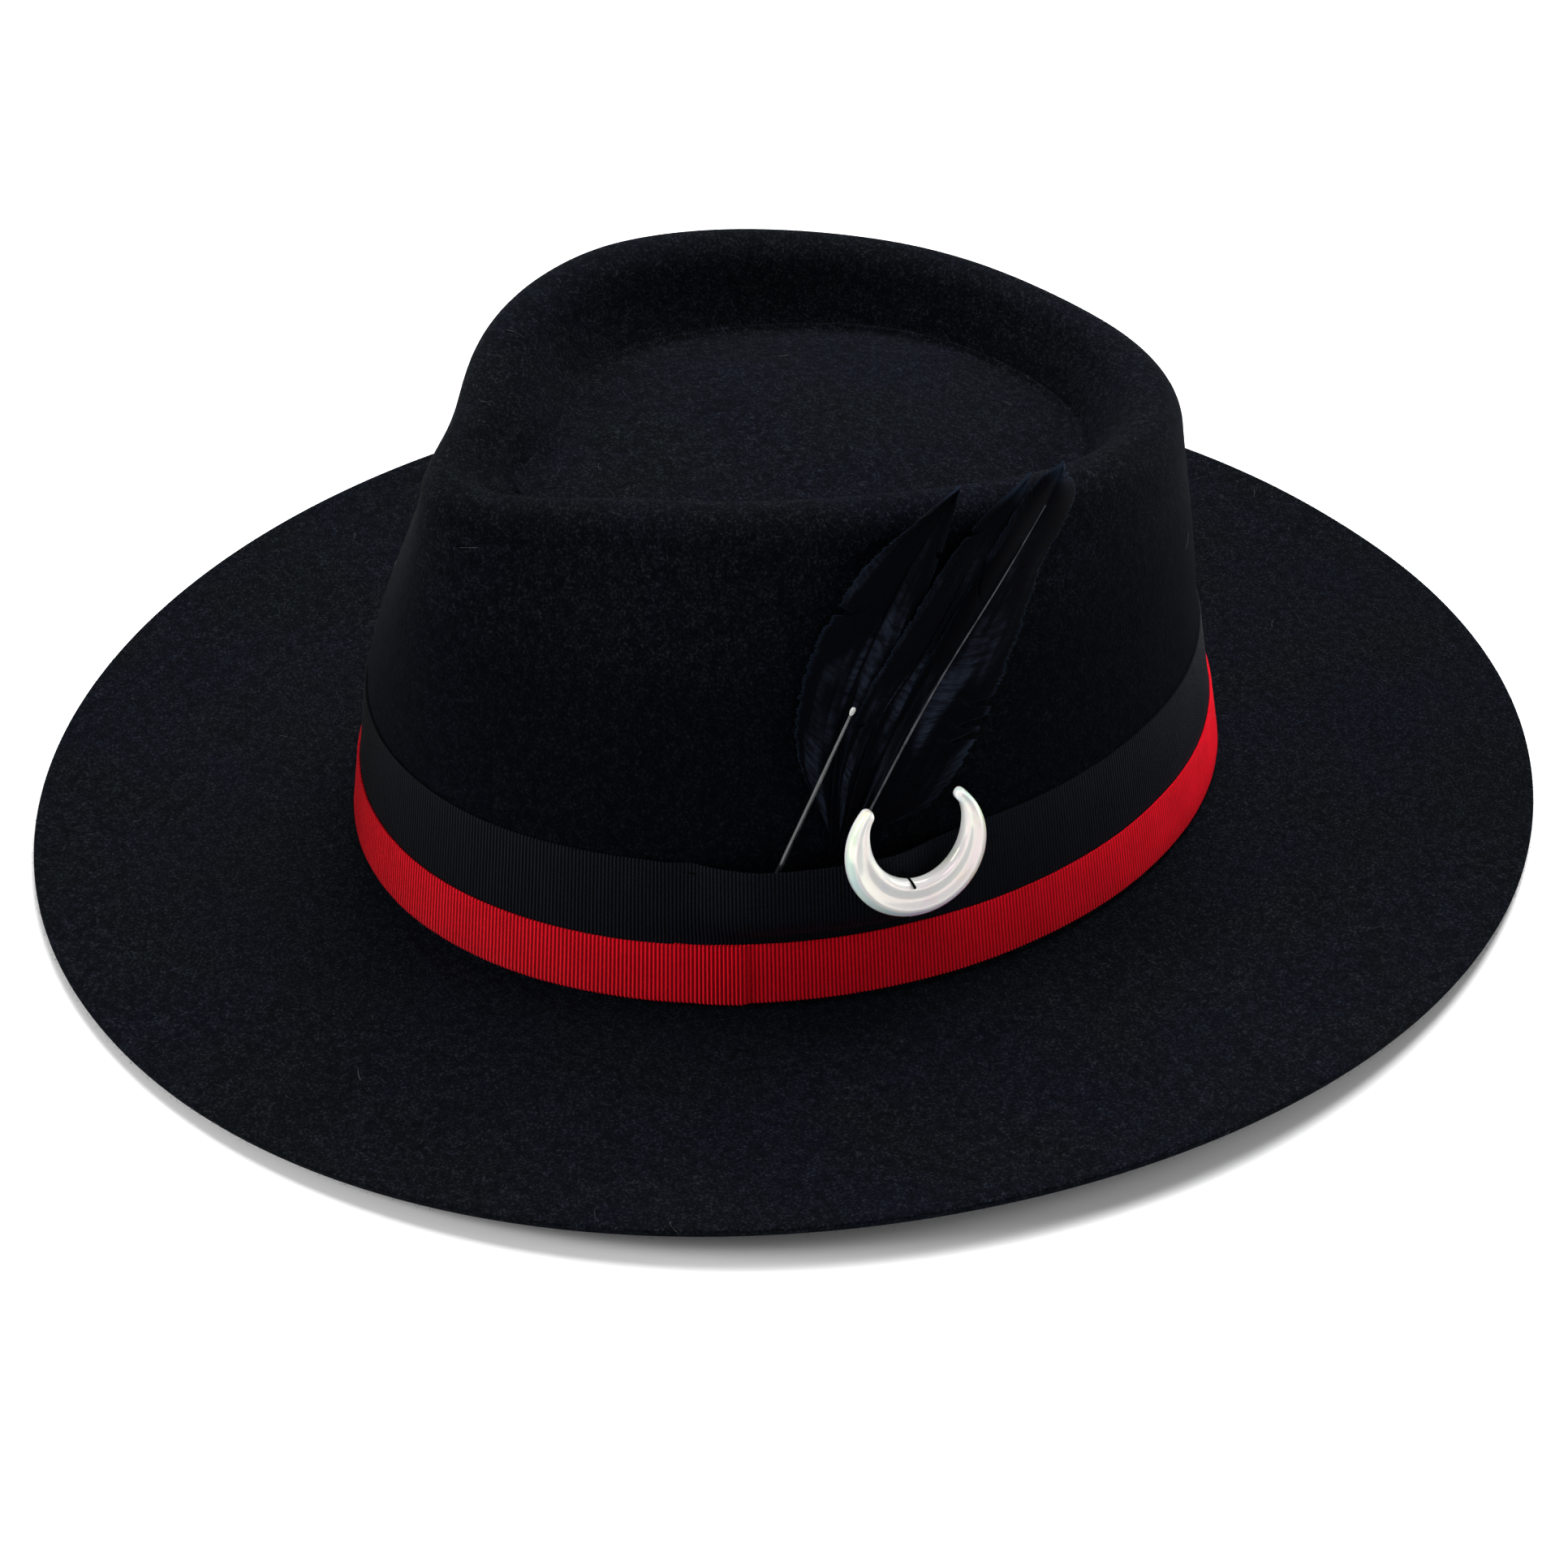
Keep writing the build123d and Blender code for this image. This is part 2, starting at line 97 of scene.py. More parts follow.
def lean(height):
    """How far the crown's wall has leaned in, up to where it turns."""
    if height <= LEAN_Z:
        return LEAN_LOW * max(0.0, height - BREAK_Z) / (LEAN_Z - BREAK_Z)
    return LEAN_LOW + (LEAN_HIGH - LEAN_LOW) * (height - LEAN_Z) / (WALL_TURN_Z - LEAN_Z)


def spot(angle, radius, height, shift_y=0.0):
    """Point at an angle and radius round the head opening."""
    return Vector((radius * sin(angle), HEAD_SHIFT_Y + shift_y - radius * cos(angle), height))


def wall_spot(angle, height, grow=0.0):
    """Point on the crown's wall, or as far off it as grow says."""
    return spot(angle, head_radius(angle) - lean(height) + grow, height)


# ---------------------------------------------------------------- modelling helpers
def tidy_selection():
    if bpy.context.object and bpy.context.object.mode != "OBJECT":
        bpy.ops.object.mode_set(mode="OBJECT")
    bpy.ops.object.select_all(action="DESELECT")


def pick(piece):
    tidy_selection()
    piece.select_set(True)
    bpy.context.view_layer.objects.active = piece


def in_edit_mode(piece, *steps):
    """Runs edit-mode steps on the whole of a piece."""
    pick(piece)
    bpy.ops.object.mode_set(mode="EDIT")
    bpy.ops.mesh.select_all(action="SELECT")
    for step in steps:
        step()
    bpy.ops.object.mode_set(mode="OBJECT")


def shaped_grid(name, columns, rows, place, merge=1e-6):
    """A grid primitive whose corners go where place(u, v) puts them, u and v from 0 to 1."""
    tidy_selection()
    bpy.ops.mesh.primitive_grid_add(x_subdivisions=columns, y_subdivisions=rows, size=1)
    piece = bpy.context.object
    piece.name = name
    for corner in piece.data.vertices:
        corner.co = place(corner.co.x + 0.5, corner.co.y + 0.5)
    in_edit_mode(
        piece,
        lambda: bpy.ops.mesh.remove_doubles(threshold=merge),
        lambda: bpy.ops.mesh.normals_make_consistent(inside=False),
    )
    return piece


def flip_normals(piece):
    in_edit_mode(piece, bpy.ops.mesh.flip_normals)


def modify(piece, kind, **settings):
    """Adds a modifier and applies it."""
    pick(piece)
    modifier = piece.modifiers.new(kind.title(), kind)
    for key, value in settings.items():
        setattr(modifier, key, value)
    bpy.ops.object.modifier_apply(modifier=modifier.name)


def smooth(piece, angle=50):
    pick(piece)
    bpy.ops.object.shade_smooth_by_angle(angle=radians(angle))


def smooth_path(points, steps):
    """Points along a smooth curve through the given ones."""
    points = [Vector(point) for point in points]
    padded = [2 * points[0] - points[1]] + points + [2 * points[-1] - points[-2]]
    path = []
    for step in range(steps + 1):
        place = step / steps * (len(points) - 1)
        span = min(int(place), len(points) - 2)
        t = place - span
        a, b, c, d = padded[span:span + 4]
        path.append(0.5 * (2 * b + (c - a) * t + (2 * a - 5 * b + 4 * c - d) * t ** 2
                           + (3 * b - a - 3 * c + d) * t ** 3))
    return path


def tube(name, points, radius, sides=10, steps=24):
    """A round rod through points, closed at both ends. radius is a function of the way along."""
    path = smooth_path(points, steps)
    frames = []
    normal = (path[1] - path[0]).orthogonal().normalized()
    for index, point in enumerate(path):
        tangent = (path[min(index + 1, steps)] - path[max(index - 1, 0)]).normalized()
        normal = (normal - tangent * normal.dot(tangent)).normalized()
        frames.append((point, normal, tangent.cross(normal), tangent))

    def place(u, v):
        row = round(v * (steps + 2)) - 1
        point, across, over, tangent = frames[min(max(row, 0), steps)]
        size = 0.0 if row < 0 or row > steps else radius(row / steps)
        return point + (across * cos(u * tau) + over * sin(u * tau)) * size

    piece = shaped_grid(name, sides, steps + 2, place)
    smooth(piece)
    return piece


def join(name, pieces):
    tidy_selection()
    for piece in pieces:
        piece.select_set(True)
    bpy.context.view_layer.objects.active = pieces[0]
    bpy.ops.object.join()
    pieces[0].name = name
    return pieces[0]


# ---------------------------------------------------------------- finish helpers
class Wire:
    """A socket that takes part in sums: each operation adds its Math node."""

    def __init__(self, finish, socket):
        self.finish, self.socket = finish, socket

    def maths(self, operation, *others):
        inputs = {0: self}
        inputs.update({index + 1: other for index, other in enumerate(others)})
        return self.finish.node("ShaderNodeMath", {"operation": operation}, inputs)

    def __add__(self, other):
        return self.maths("ADD", other)

    def __radd__(self, other):
        return self.maths("ADD", other)

    def __sub__(self, other):
        return self.maths("SUBTRACT", other)

    def __rsub__(self, other):
        return self.maths("MULTIPLY", -1.0).maths("ADD", other)

    def __mul__(self, other):
        return self.maths("MULTIPLY", other)

    def __rmul__(self, other):
        return self.maths("MULTIPLY", other)

    def __pow__(self, other):
        return self.maths("POWER", other)

    def wave(self):
        """Sine of the value, moved to run from 0 to 1."""
        return self.maths("SINE") * 0.5 + 0.5

    def spread(self, low, high):
        """0 below low, 1 above high, eased between."""
        settings = {"interpolation_type": "SMOOTHSTEP"}
        return self.finish.node("ShaderNodeMapRange", settings, {"Value": self, 1: low, 2: high})


class Finish:
    """A material on the Principled shader, made node by node."""

    def __init__(self, name, **fixed):
        self.material = bpy.data.materials.new(name)
        self.material.use_nodes = True
        self.tree = self.material.node_tree
        self.shader = self.tree.nodes["Principled BSDF"]
        for socket, value in fixed.items():
            self.shader.inputs[socket.replace("_", " ")].default_value = value

    def node(self, kind, settings=None, inputs=None, output=0):
        made = self.tree.nodes.new(kind)
        for key, value in (settings or {}).items():
            if key == "stops":
                ramp = made.color_ramp
                while len(ramp.elements) < len(value):
                    ramp.elements.new(1.0)
                for stop, (place, colour) in zip(ramp.elements, value):
                    stop.position, stop.color = place, (*colour, 1.0)
            else:
                setattr(made, key, value)
        for key, value in (inputs or {}).items():
            self.feed(made.inputs[key], value)
        return Wire(self, made.outputs[output])

    def feed(self, socket, value):
        if isinstance(value, Wire):
            self.tree.links.new(value.socket, socket)
        else:
            socket.default_value = value

    def shade(self, **inputs):
        for socket, value in inputs.items():
            self.feed(self.shader.inputs[socket.replace("_", " ")], value)

    def place(self):
        return self.node("ShaderNodeTexCoord", output="Object")

    def own_map(self):
        """The piece's own map, as its u and v."""
        where = self.node("ShaderNodeTexCoord", output="UV")
        split = self.node("ShaderNodeSeparateXYZ", None, {0: where})
        return split, Wire(self, split.socket.node.outputs[1])

    def grain(self, scale, detail=4.0, rough=0.55, stretch=None, where=None):
        where = where or self.place()
        if stretch:
            where = self.node("ShaderNodeMapping", None, {"Vector": where, "Scale": stretch})
        inputs = {"Vector": where, "Scale": scale, "Detail": detail, "Roughness": rough}
        return self.node("ShaderNodeTexNoise", {"noise_dimensions": "3D"}, inputs)

    def blend(self, factor, first, second, mode="MIX"):
        """Mixes two colours; a plain colour has three parts."""
        first = first if isinstance(first, Wire) else (*first, 1.0)
        second = second if isinstance(second, Wire) else (*second, 1.0)
        settings = {"data_type": "RGBA", "blend_type": mode}
        return self.node("ShaderNodeMix", settings, {0: factor, 6: first, 7: second}, output=2)

    def emboss(self, height, depth, strength=1.0, under=None):
        inputs = {"Height": height, "Distance": depth, "Strength": strength}
        if under:
            inputs["Normal"] = under
        return self.node("ShaderNodeBump", None, inputs)


def dress(piece, finish):
    piece.data.materials.clear()
    piece.data.materials.append(finish.material)


# ---------------------------------------------------------------- finishes
def felt_finish():
    """Short-napped wool felt, near black, mottled navy and green-black, with pale stray fibres."""
    felt = Finish("wool_felt", Sheen_Weight=0.008, Sheen_Roughness=0.4, Specular_IOR_Level=0.012)
    felt.shader.inputs["Sheen Tint"].default_value = (0.62, 0.72, 1.0, 1.0)
    patches = felt.grain(24, 5, 0.6)
    broad = felt.grain(9, 3, 0.5)
    hue = patches.spread(0.38, 0.62) * 0.7 + broad.spread(0.4, 0.6) * 0.3
    navy = felt.blend(hue, (0.0016, 0.0023, 0.0024), (0.0019, 0.0023, 0.0048))
    nap = felt.grain(1600, 3, 0.75)
    tufts = felt.grain(450, 4, 0.7)
    worn = felt.grain(60, 5, 0.7)
    speckled = felt.blend(nap.spread(0.47, 0.7) * 0.75, navy, (0.0155, 0.0182, 0.0238))
    hollows = tufts.spread(0.38, 0.62) * (worn * 0.5 + 0.45)
    colour = felt.blend(hollows, speckled, (0.0009, 0.0011, 0.0018))
    # painted shade: the crown's wall, from about 12 mm up to about 88 mm, is painted darker than the
    # brim
    rise = felt.node("ShaderNodeSeparateXYZ", None, {0: felt.place()}, output=2)
    painted_wall_shade = rise.spread(0.012, 0.04) * (1 - rise.spread(0.07, 0.088))
    colour = felt.blend(painted_wall_shade * 0.42, colour, (0.0004, 0.0006, 0.001))
    height = nap * 0.8 + tufts * 0.7
    felt.shade(Base_Color=colour, Roughness=nap * 0.1 + 0.88, Normal=felt.emboss(height, 0.0006, 0.9))
    return felt


def grosgrain_finish(name, shaded_valley, high, ribs, gloss):
    """Ribbed ribbon: rounded ribs of fine weft across the band, with painted shade in the valleys
    between them and painted highlight on their crests.
    """
    ribbon = Finish(name, Sheen_Weight=0.01, Sheen_Roughness=0.4, Specular_IOR_Level=0.05)
    round_way, up_way = ribbon.own_map()
    rib = (round_way * (ribs * tau)).wave()
    weft = (up_way * 420.0 + (round_way * (ribs * pi)).maths("SINE") * 0.6).wave()
    patchy_rib_light = ribbon.grain(90, 4, 0.6)
    fuzz = ribbon.grain(2600, 2, 0.5)
    # painted light: colour runs from painted shade in the rib valleys to painted highlight on the
    # crests, stronger in some patches than in others
    colour = ribbon.blend(rib ** 1.3 * (0.6 + patchy_rib_light * 0.7), shaded_valley, high)
    colour = ribbon.blend(fuzz.spread(0.45, 0.8) * 0.35, colour, high)
    height = weft * 0.35 + fuzz * 0.5 + rib * 0.4
    ribbon.shade(
        Base_Color=colour,
        Roughness=(1 - rib) * 0.25 + gloss,
        Normal=ribbon.emboss(height, 0.0002, 1.0),
    )
    return ribbon


def feather_finish():
    """Blue-black barbs lying side by side, dull in places, with painted satin sheen in streaks in
    others and painted highlight along the vanes' edges.
    """
    vane = Finish("feather_barbs", Specular_IOR_Level=0.02, Sheen_Weight=0.004)
    across, along = vane.own_map()
    slant = (across - 0.5).maths("ABSOLUTE")
    barb = ((along * 230.0 - slant * 46.0 + vane.grain(60, 2) * 1.2) * tau).wave()
    line = along - slant * 0.2
    drift = vane.grain(30, 1) * 5.0
    row = vane.node("ShaderNodeCombineXYZ", None, {0: line * 1.5, 1: across * 2.4, 2: drift * 0.12})
    # painted sheen: satin streaks painted lighter into the barbs' colour, fading towards the tip
    painted_satin_sheen = vane.grain(2.2, 2, 0.5, where=row).spread(0.5, 0.7) * (1 - along.spread(0.45, 0.8))
    fine = vane.node("ShaderNodeCombineXYZ", None, {0: line * 60.0, 1: slant * 3.0, 2: drift})
    painted_sheen_streaks = vane.grain(1.5, 4, 0.65, where=fine).spread(0.36, 0.64)
    # painted highlight along the vanes' edges; the colour is also lighter towards the tip
    painted_edge_highlight = slant.spread(0.455, 0.5)
    tip = along.spread(0.86, 1.0)
    shine = painted_satin_sheen * (painted_sheen_streaks * 0.85 + 0.15)
    colour = vane.blend(shine, (0.0001, 0.0003, 0.0012), (0.0135, 0.0185, 0.031))
    colour = vane.blend(barb * 0.3, colour, (0.0008, 0.0012, 0.0034))
    colour = vane.blend(painted_edge_highlight * 0.3 + tip * 0.6, colour, (0.011, 0.02, 0.038))
    vane.shade(
        Base_Color=colour,
        Roughness=0.52 - painted_satin_sheen * 0.15,
        Normal=vane.emboss(barb + vane.grain(900, 2) * 0.4, 0.00012, 0.8),
    )
    return vane


def horn_finish(name, dark, pale, coat, shine=0.2):
    """Horny feather shaft, streaked along its length."""
    horn = Finish(name, Specular_IOR_Level=shine, Coat_Weight=coat, Coat_Roughness=0.1, IOR=1.54)
    tone = horn.grain(160, 3, 0.6, stretch=(3, 3, 0.25))
    colour = horn.blend(tone.spread(0.35, 0.65), dark, pale)
    horn.shade(Base_Color=colour, Roughness=tone * 0.2 + 0.2, Normal=horn.emboss(tone, 0.0001, 0.4))
    return horn


def pearl_finish():
    """Opaque white glass with a thin rainbow coating that shows in soft bands along its slopes."""
    pearl = Finish("pearl_glass", Coat_Weight=1.0, Coat_Roughness=0.02, IOR=1.5, Specular_IOR_Level=0.5)
    pearl.shader.inputs["Subsurface Weight"].default_value = 0.05
    pearl.shader.inputs["Subsurface Scale"].default_value = 0.002
    pearl.shader.inputs["Thin Film Thickness"].default_value = 420.0
    pearl.shader.inputs["Thin Film IOR"].default_value = 1.8
    round_way, along = pearl.own_map()
    drift = pearl.grain(110, 3, 0.5)
    patches = pearl.grain(260, 2, 0.4)
    stops = [
        (0.0, (0.60, 0.84, 0.92)),
        (0.14, (0.70, 0.68, 0.95)),
        (0.28, (0.95, 0.72, 0.88)),
        (0.42, (0.98, 0.88, 0.62)),
        (0.58, (0.80, 0.92, 0.62)),
        (0.78, (0.66, 0.88, 0.78)),
        (1.0, (0.60, 0.84, 0.92)),
    ]
    bands = (along * 1.5 + round_way * 0.5 + drift * 0.7).maths("FRACT")
    rainbow = pearl.node("ShaderNodeValToRGB", {"stops": stops}, {0: bands})
    bevel = (round_way - 0.085).maths("ABSOLUTE").maths("MULTIPLY", -1.0).spread(-0.085, -0.05)
    glow = drift.spread(0.45, 0.62) * patches.spread(0.4, 0.6)
    colour = pearl.blend(bevel * 0.75 + glow * 0.45, (0.985, 0.985, 0.965), rainbow)
    pearl.shade(
        Base_Color=colour,
        Roughness=drift * 0.08 + 0.1,
        Normal=pearl.emboss(drift, 0.0004, 0.25),
    )
    return pearl


def thread_finish():
    """Black sewing thread with its twist."""
    thread = Finish("sewing_thread", Specular_IOR_Level=0.04)
    ply = (thread.grain(700, 2) * 9.0).wave()
    thread.shade(
        Base_Color=thread.blend(ply, (0.0003, 0.0004, 0.0006), (0.0018, 0.002, 0.003)),
        Roughness=ply * 0.2 + 0.6,
        Normal=thread.emboss(ply, 0.0001, 0.6),
    )
    return thread


def leather_finish():
    """Smooth black sweatband leather with a fine pebble."""
    leather = Finish("sweatband_leather", Specular_IOR_Level=0.45)
    cells = leather.node("ShaderNodeTexVoronoi", None, {"Vector": leather.place(), "Scale": 900.0})
    soft = leather.grain(60, 4)
    colour = leather.blend(soft, (0.010, 0.009, 0.009), (0.026, 0.022, 0.020))
    height = cells * 0.7 + leather.grain(300, 4) * 0.5
    leather.shade(
        Base_Color=colour,
        Roughness=soft * 0.25 + 0.38,
        Normal=leather.emboss(height, 0.0002, 0.5),
    )
    return leather


def lint_finish(name, dark, pale):
    """Dull fibre for the nap, the brim's edge and stray lint."""
    lint = Finish(name, Specular_IOR_Level=0.1)
    tone = lint.grain(400, 2)
    lint.shade(
        Base_Color=lint.blend(tone.spread(0.35, 0.65), dark, pale),
        Roughness=tone * 0.1 + 0.8,
        Normal=lint.emboss(tone, 0.0001, 0.3),
    )
    return lint


def reed_finish():
    """Woven tape that covers the sweatband's cord."""
    reed = Finish("reed_tape", Specular_IOR_Level=0.3)
    round_way, along = reed.own_map()
    weave = ((round_way * 900.0) * tau).wave()
    reed.shade(
        Base_Color=reed.blend(weave, (0.010, 0.010, 0.011), (0.035, 0.035, 0.037)),
        Roughness=weave * 0.1 + 0.7,
        Normal=reed.emboss(weave, 0.0001, 0.6),
    )
    return reed


def floor_finish():
    paper = Finish("pale_floor")
    tone = paper.grain(3, 3)
    white = paper.blend(tone, (0.80, 0.80, 0.80), (0.83, 0.83, 0.83))
    paper.shade(Base_Color=white, Roughness=tone * 0.1 + 0.75)
    return paper


felt_cloth = felt_finish()
RIB_COUNT_WIDE = 720
RIB_COUNT_NARROW = 680
# each ribbon's first colour is the painted shade of its rib valleys, the second the painted highlight
# of its crests
dark_grosgrain = grosgrain_finish(
    "dark_grosgrain", (0.0001, 0.0002, 0.0004), (0.0052, 0.0066, 0.0118), RIB_COUNT_WIDE, 0.42)
red_grosgrain = grosgrain_finish(
    "red_grosgrain", (0.17, 0.0004, 0.002), (0.96, 0.004, 0.02), RIB_COUNT_NARROW, 0.42)
feather_barbs = feather_finish()
pale_horn = horn_finish("front_shaft_horn", (0.018, 0.02, 0.026), (0.065, 0.07, 0.082), 0.2)
dark_horn = horn_finish("rear_shaft_horn", (0.0006, 0.0007, 0.0014), (0.0016, 0.0018, 0.003), 0.0, 0.01)
quill_horn = horn_finish("stripped_quill_horn", (0.003, 0.004, 0.005), (0.028, 0.032, 0.034), 1.0, 0.4)
quill_pith = horn_finish("quill_tip_pith", (0.45, 0.46, 0.45), (0.75, 0.75, 0.72), 0.3)
pearl_glass = pearl_finish()
sewing_thread = thread_finish()
sweatband_leather = leather_finish()
pale_lint = lint_finish("pale_lint", (0.03, 0.033, 0.036), (0.16, 0.165, 0.165))
nap_fibre = lint_finish("nap_fibre", (0.004, 0.0055, 0.0085), (0.02, 0.0235, 0.03))
reed_tape = reed_finish()


# ---------------------------------------------------------------- camera, floor and light
def aim(obj, place, target, roll=0.0):
    """Stands a camera or a lamp at a place, pointed at a target and rolled about its view."""
    back = (place - target).normalized()
    right = Vector((0, 0, 1)).cross(back).normalized()
    up = back.cross(right)
    across = right * cos(roll) + up * sin(roll)
    over = up * cos(roll) - right * sin(roll)
    matrix = Matrix((across, over, back)).transposed().to_4x4()
    matrix.translation = place
    obj.matrix_world = matrix


def soft_light(name, place, target, size, power, tint=(1, 1, 1)):
    data = bpy.data.lights.new(name, "AREA")
    data.shape, data.size, data.size_y = "RECTANGLE", size[0], size[1]
    data.energy, data.color = power, tint
    lamp = bpy.data.objects.new(name, data)
    bpy.context.collection.objects.link(lamp)
    aim(lamp, Vector(place), Vector(target))


CAMERA_TURN = radians(60.79)
CAMERA_RISE = radians(34.86)
CAMERA_AWAY = 0.8952
camera_data = bpy.data.cameras.new("camera")
camera_data.sensor_width = 36
camera_data.lens = 84.23
camera_data.clip_start = 0.01
camera = bpy.data.objects.new("camera", camera_data)
bpy.context.collection.objects.link(camera)
bpy.context.scene.camera = camera
camera_target = Vector((cos(CAMERA_TURN), sin(CAMERA_TURN), 0)) * -1.54 * MM
camera_target += Vector((0, HEAD_SHIFT_Y, -5.28 * MM))
camera_back = Vector((
    sin(CAMERA_TURN) * cos(CAMERA_RISE),
    -cos(CAMERA_TURN) * cos(CAMERA_RISE),
    sin(CAMERA_RISE),
))
aim(camera, camera_target + camera_back * CAMERA_AWAY, camera_target, radians(-1.53))

tidy_selection()
bpy.ops.mesh.primitive_grid_add(x_subdivisions=8, y_subdivisions=8, size=8, location=(0, 0, -0.0004))
floor = bpy.context.object
floor.name = "floor"
dress(floor, floor_finish())

world = bpy.data.worlds.new("studio")
world.use_nodes = True
world.node_tree.nodes["Background"].inputs[0].default_value = (1, 1, 1, 1)
world.node_tree.nodes["Background"].inputs[1].default_value = 0.33
bpy.context.scene.world = world
bpy.context.scene.view_settings.view_transform = "Standard"
soft_light("overhead_back", (-0.4, 0.55, 1.3), (0, 0, 0.05), (1.0, 1.0), 46)
soft_light("left_side", (-0.45, -1.45, 0.75), (0, 0, 0.05), (0.7, 0.7), 22)
soft_light("front_fill", (1.7, -0.6, 0.5), (0, 0, 0.05), (0.6, 0.6), 2.5)
soft_light("right_side", (1.1, 1.2, 0.8), (0, 0, 0.05), (0.8, 0.8), 8)

# ---------------------------------------------------------------- felt body
FELT_COLUMNS = 192
PLATEAU_SHARES = (0, 0.008, 0.03, 0.09, 0.2, 0.35, 0.5, 0.66, 0.8, 0.91, 0.97)
# the pressed ring round the crown's floor: how far in from the rim, and how high, in mm
DISH_PROFILE = (
    (16.9, -1.2),
    (16.0, -0.8),
    (15.4, 0.15),
    (14.9, -0.05),
    (14.3, -1.1),
    (13.6, -1.5),
    (12.9, -0.8),
    (11.5, 1.9),
    (9.6, 5.2),
)
ROLL_TURNS = (160, 143, 126, 109, 92, 75, 58, 41, 25, 11, 0)
UPPER_WALL_SHARES = (0.92, 0.82, 0.7, 0.56, 0.42, 0.28, 0.14)
BRIM_SHARES = (0.04, 0.12, 0.25, 0.4, 0.55, 0.7, 0.82, 0.91, 0.97)


def ripple(place, size, depth):
    """Soft unevenness of a hand-blocked felt."""
    return noise.noise(place / size) * depth


def brim_lift(angle, share):
    """The brim's gentle lift towards its edge, more at the sides than in front."""
    edge = 2.7 + 0.2 * cos(angle) - 0.3 * sin(angle) - 2.8 * cos(2 * angle) + 2.1 * sin(2 * angle)
    edge += 0.2 * cos(3 * angle) - 0.8 * sin(3 * angle)
    return 0.5 * (edge + sqrt(edge * edge + 0.4)) * MM * share ** 2


def brim_spot(angle, share, rise=0.0, grow=0.0):
    edge = 1 / sqrt((sin(angle) / BRIM_HALF_X) ** 2 + (cos(angle) / BRIM_HALF_Y) ** 2)
    start = head_radius(angle) + BREAK_RADIUS
    lift = brim_lift(angle, share)
    return spot(angle, start + (edge - start) * share + grow, FELT + rise + lift, -HEAD_SHIFT_Y * share)


def upper_wall_spot(angle, share):
    """The wall above the ribbons, changing from the head's oval to the rim's teardrop."""
    blend = share ** (1.08 + 0.2 * exp(-((half_turn(angle) / 0.9) ** 2)))
    oval = head_radius(angle) - LEAN_HIGH
    drop = drop_radius(angle) + RIM_ROLL
    height = WALL_TURN_Z + (rim_height(angle) - WALL_TURN_Z) * share
    return spot(angle, oval + (drop - oval) * blend, height, DROP_SHIFT_Y * blend)


def roll_spot(angle, turn):
    """The rolled rim, from 0 degrees outside to 160 inside."""
    out, rise = RIM_ROLL * cos(radians(turn)), RIM_ROLL * sin(radians(turn))
    return spot(angle, drop_radius(angle) + out, rim_height(angle) + rise, DROP_SHIFT_Y)


def crease_height(angle):
    return rim_height(angle) + (-6.1 + 2.3 * cos(angle) + 3.9 * cos(2 * angle)) * MM


def dish_spot(angle, inset, rise):
    return spot(angle, drop_radius(angle) - inset, crease_height(angle) + rise, DROP_SHIFT_Y)


def plateau_spot(angle, share):
    edge = crease_height(angle) - 1.2 * MM
    height = PLATEAU_Z + (edge - PLATEAU_Z) * share ** 2
    return spot(angle, share * (drop_radius(angle) - PLATEAU_INSET), height, DROP_SHIFT_Y)


def felt_stations():
    """Rings of the felt's outer face from the middle of the crown's floor to the brim's edge."""
    rings = [lambda a, s=share: plateau_spot(a, s) for share in PLATEAU_SHARES]
    rings += [lambda a, i=inset, r=rise: dish_spot(a, i * MM, r * MM) for inset, rise in DISH_PROFILE]
    rings += [lambda a, t=turn: roll_spot(a, t) for turn in ROLL_TURNS]
    rings += [lambda a, s=share: upper_wall_spot(a, s) for share in UPPER_WALL_SHARES]
    rings += [lambda a, z=height: wall_spot(a, z * MM) for height in (42, 36, 28, 18, 11, 6)]
    for turn in (0, 30, 60, 90):
        rings.append(lambda a, t=turn: spot(
            a,
            head_radius(a) + BREAK_RADIUS * (1 - cos(radians(t))),
            BREAK_Z - BREAK_RADIUS * sin(radians(t)),
        ))
    rings += [lambda a, s=share: brim_spot(a, s) for share in BRIM_SHARES]
    rings += [lambda a: brim_spot(a, 1.0, 0, -0.5 * MM), lambda a: brim_spot(a, 1.0, -0.25 * MM)]
    return rings


def make_felt():
    rings = felt_stations()

    def place(u, v):
        angle = u * tau
        point = rings[round(v * (len(rings) - 1))](angle)
        above = min(1.0, max(0.0, (point.z - WALL_TURN_Z) / (20 * MM)))
        outwards = Vector((sin(angle), -cos(angle), 0)) * min(1.0, hypot(point.x, point.y) / 0.05)
        outwards.z = 0.6
        return point + outwards * ripple(point, 0.045, 0.9 * MM) * above

    felt = shaped_grid("felt_hat", FELT_COLUMNS, len(rings) - 1, place)
    if max(felt.data.polygons, key=lambda face: face.center.z).normal.z < 0:
        flip_normals(felt)
    modify(felt, "SOLIDIFY", thickness=FELT - 0.1 * MM, offset=-1.0, use_even_offset=False)
    modify(felt, "SUBSURF", levels=1, render_levels=1)
    smooth(felt, 60)
    dress(felt, felt_cloth)
    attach(felt, "hat")
    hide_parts("felt_body")
    return felt


felt_hat = make_felt()


# ---------------------------------------------------------------- ribbons
def pocket(angle, height):
    """How far the wide ribbon bulges where the feathers are tucked behind it."""
    away = (half_turn(angle) * 180 / pi - POCKET_ANGLE) / POCKET_HALF_ANGLE
    climb = (height - POCKET_START_Z) / (POCKET_FOOT_Z - POCKET_START_Z)
    climb = min(1.0, max(0.0, climb))
    return POCKET_DEPTH * climb * climb * (3 - 2 * climb) / (1 + away ** 6)


def pucker(angle, height):
    """The gathered nip where a tack stitch pulls the wide ribbon's top edge down."""
    away = (half_turn(angle) * 180 / pi - PUCKER_ANGLE) / 1.5
    climb = min(1.0, max(0.0, (height - 24 * MM) / (14 * MM)))
    return (exp(-(away ** 2)) - 0.45 * exp(-((abs(away) - 2.4) ** 2))) * climb ** 2


